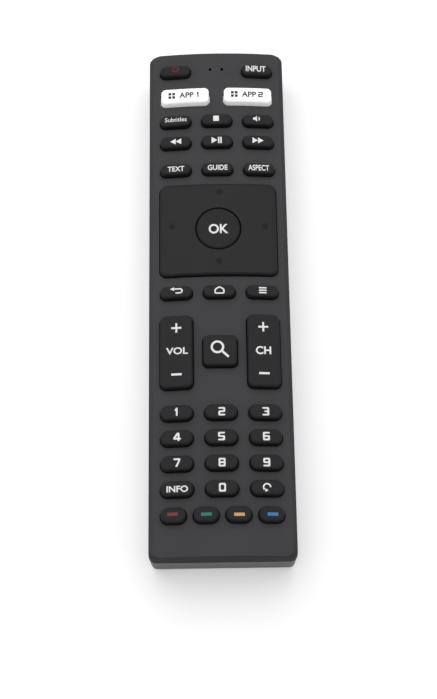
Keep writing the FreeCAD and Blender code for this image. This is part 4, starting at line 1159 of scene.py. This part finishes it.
def white_paper():
    """The floor's paper. Farther out it is seen as plain white, and from below it is clear."""
    material, tree = new_material("white_paper")
    seen = any_ray(tree, "Camera", "Glossy", "Transmission")
    distance = add_node(
        tree, "ShaderNodeVectorMath", {0: object_place(tree)}, operation="LENGTH"
    ).outputs["Value"]
    farther = add_node(
        tree, "ShaderNodeMapRange", {"Value": distance, "From Min": FADE_START, "From Max": FADE_END},
        interpolation_type="SMOOTHSTEP",
    ).outputs["Result"]
    faded = add_node(tree, "ShaderNodeMath", {0: farther, 1: seen}, operation="MULTIPLY").outputs[0]
    plain = add_node(tree, "ShaderNodeEmission", {"Color": WHITE, "Strength": 1.0}).outputs[0]
    sheet = add_node(
        tree, "ShaderNodeMixShader", {0: faded, 1: lit_paper(tree, seen), 2: plain}
    ).outputs[0]
    clear = add_node(tree, "ShaderNodeBsdfTransparent").outputs[0]
    behind = add_node(tree, "ShaderNodeNewGeometry").outputs["Backfacing"]
    unseen = add_node(
        tree, "ShaderNodeMath", {0: behind, 1: any_ray(tree, "Shadow")}, operation="MAXIMUM"
    ).outputs[0]
    whole = add_node(tree, "ShaderNodeMixShader", {0: unseen, 1: sheet, 2: clear}).outputs[0]
    add_node(tree, "ShaderNodeOutputMaterial", {"Surface": whole})
    return material


def pale_floor():
    """A wide sheet of paper that keeps the shadow.

    It lies a hair above the resting plane and is clear from below, so the underside gets its light.
    """
    bpy.ops.object.select_all(action="DESELECT")
    bpy.ops.mesh.primitive_plane_add(size=PAPER_WIDTH, location=(0, 0, PAPER_LIFT))
    floor = bpy.context.object
    floor.name = "floor"
    floor.data.materials.append(white_paper())


def area_lamp(name, size, power, place):
    """A square soft lamp at a place, turned towards the middle of the underside."""
    light = bpy.data.lights.new(name, "AREA")
    light.shape = "SQUARE"
    light.size = size
    light.energy = power
    lamp = bpy.data.objects.new(name, light)
    bpy.context.scene.collection.objects.link(lamp)
    lamp.location = place
    lamp.rotation_euler = (-Vector(place)).to_track_quat("-Z", "Y").to_euler()


def studio_light():
    """A white room that is darker behind the camera, and a large lamp overhead.

    The darker side leaves the walls that face the camera in shade. A weak lamp under the floor
    serves views from below.
    """
    settings = bpy.context.scene.remote_studio
    world = bpy.data.worlds.new("white_room")
    bpy.context.scene.world = world
    world.use_nodes = True
    tree = world.node_tree
    tree.nodes.clear()
    away = add_node(tree, "ShaderNodeSeparateXYZ", {"Vector": object_place(tree)}).outputs["Y"]
    graded = add_node(
        tree, "ShaderNodeMapRange",
        {
            "Value": away, "From Min": DARK_SIDE, "From Max": BRIGHT_SIDE,
            "To Min": settings.world * settings.camera_side, "To Max": settings.world,
        },
        interpolation_type="SMOOTHSTEP",
    ).outputs[0]
    reflected = add_node(
        tree, "ShaderNodeMapRange",
        {"Value": any_ray(tree, "Glossy"), "To Min": graded, "To Max": settings.mirrored},
    ).outputs[0]
    strength = add_node(
        tree, "ShaderNodeMapRange",
        {"Value": any_ray(tree, "Camera", "Transmission"), "To Min": reflected, "To Max": 1.0},
    ).outputs[0]
    background = add_node(tree, "ShaderNodeBackground", {"Color": WHITE, "Strength": strength})
    add_node(tree, "ShaderNodeOutputWorld", {"Surface": background.outputs[0]})
    area_lamp("overhead_lamp", OVERHEAD_SIZE, settings.overhead, OVERHEAD_PLACE)
    area_lamp("table_bounce", BOUNCE_SIZE, BOUNCE_POWER, BOUNCE_PLACE)


def photograph_camera():
    """The camera, at the photograph's place and angle. The sensor's width is the long side's."""
    settings = bpy.context.scene.remote_studio
    data = bpy.data.cameras.new("photograph")
    data.sensor_width = SENSOR_MM
    data.lens = settings.focal * SENSOR_MM / max(PHOTO_WIDTH_PX, PHOTO_HEIGHT_PX)
    data.clip_start = 0.01
    data.clip_end = 20.0
    camera = bpy.data.objects.new("photograph", data)
    bpy.context.scene.collection.objects.link(camera)
    turn = (
        Matrix.Rotation(-settings.yaw, 3, "Z")
        @ Matrix.Rotation(math.radians(90) - settings.pitch, 3, "X")
        @ Matrix.Rotation(settings.roll, 3, "Z")
    )
    camera.location = settings.place
    camera.rotation_euler = turn.to_euler()
    bpy.context.scene.camera = camera


class RemotePanel(bpy.types.Panel):
    """Sidebar panel with the steps and the settings"""

    bl_idname = "VIEW3D_PT_remote"
    bl_label = "Remote Control"
    bl_space_type = "VIEW_3D"
    bl_region_type = "UI"
    bl_category = "Remote"

    def draw(self, context):
        for step in STEPS:
            self.layout.operator(step.bl_idname)
        for group_name in GROUPS:
            group = getattr(context.scene, group_name)
            box = self.layout.box()
            for name in group.__annotations__:
                box.prop(group, name)


STEPS = (
    RemoteFinishSurfaces, RemotePrintWords, RemotePrintDigits, RemotePrintSymbols, RemotePrintWhiteKeys,
    RemoteWindSprings, RemoteStage,
)
GROUPS = {
    "remote_finish": RemoteFinish,
    "remote_print": RemotePrint,
    "remote_contacts": RemoteContacts,
    "remote_studio": RemoteStudio,
}
CLASSES = tuple(GROUPS.values()) + STEPS + (RemotePanel,)


def register():
    """Registers the settings, the steps and the panel."""
    for cls in CLASSES:
        bpy.utils.register_class(cls)
    for name, group in GROUPS.items():
        setattr(bpy.types.Scene, name, PointerProperty(type=group))


def unregister():
    """Takes them out again."""
    for name in GROUPS:
        delattr(bpy.types.Scene, name)
    for cls in reversed(CLASSES):
        bpy.utils.unregister_class(cls)


def main():
    """Registers the classes and runs the steps in order."""
    register()
    bpy.context.scene.view_settings.view_transform = "Standard"
    bpy.ops.remote.finish_surfaces()
    bpy.ops.remote.print_words()
    bpy.ops.remote.print_digits()
    bpy.ops.remote.print_symbols()
    bpy.ops.remote.print_white_keys()
    bpy.ops.remote.wind_springs()
    bpy.ops.remote.stage()


if __name__ == "__main__":
    main()
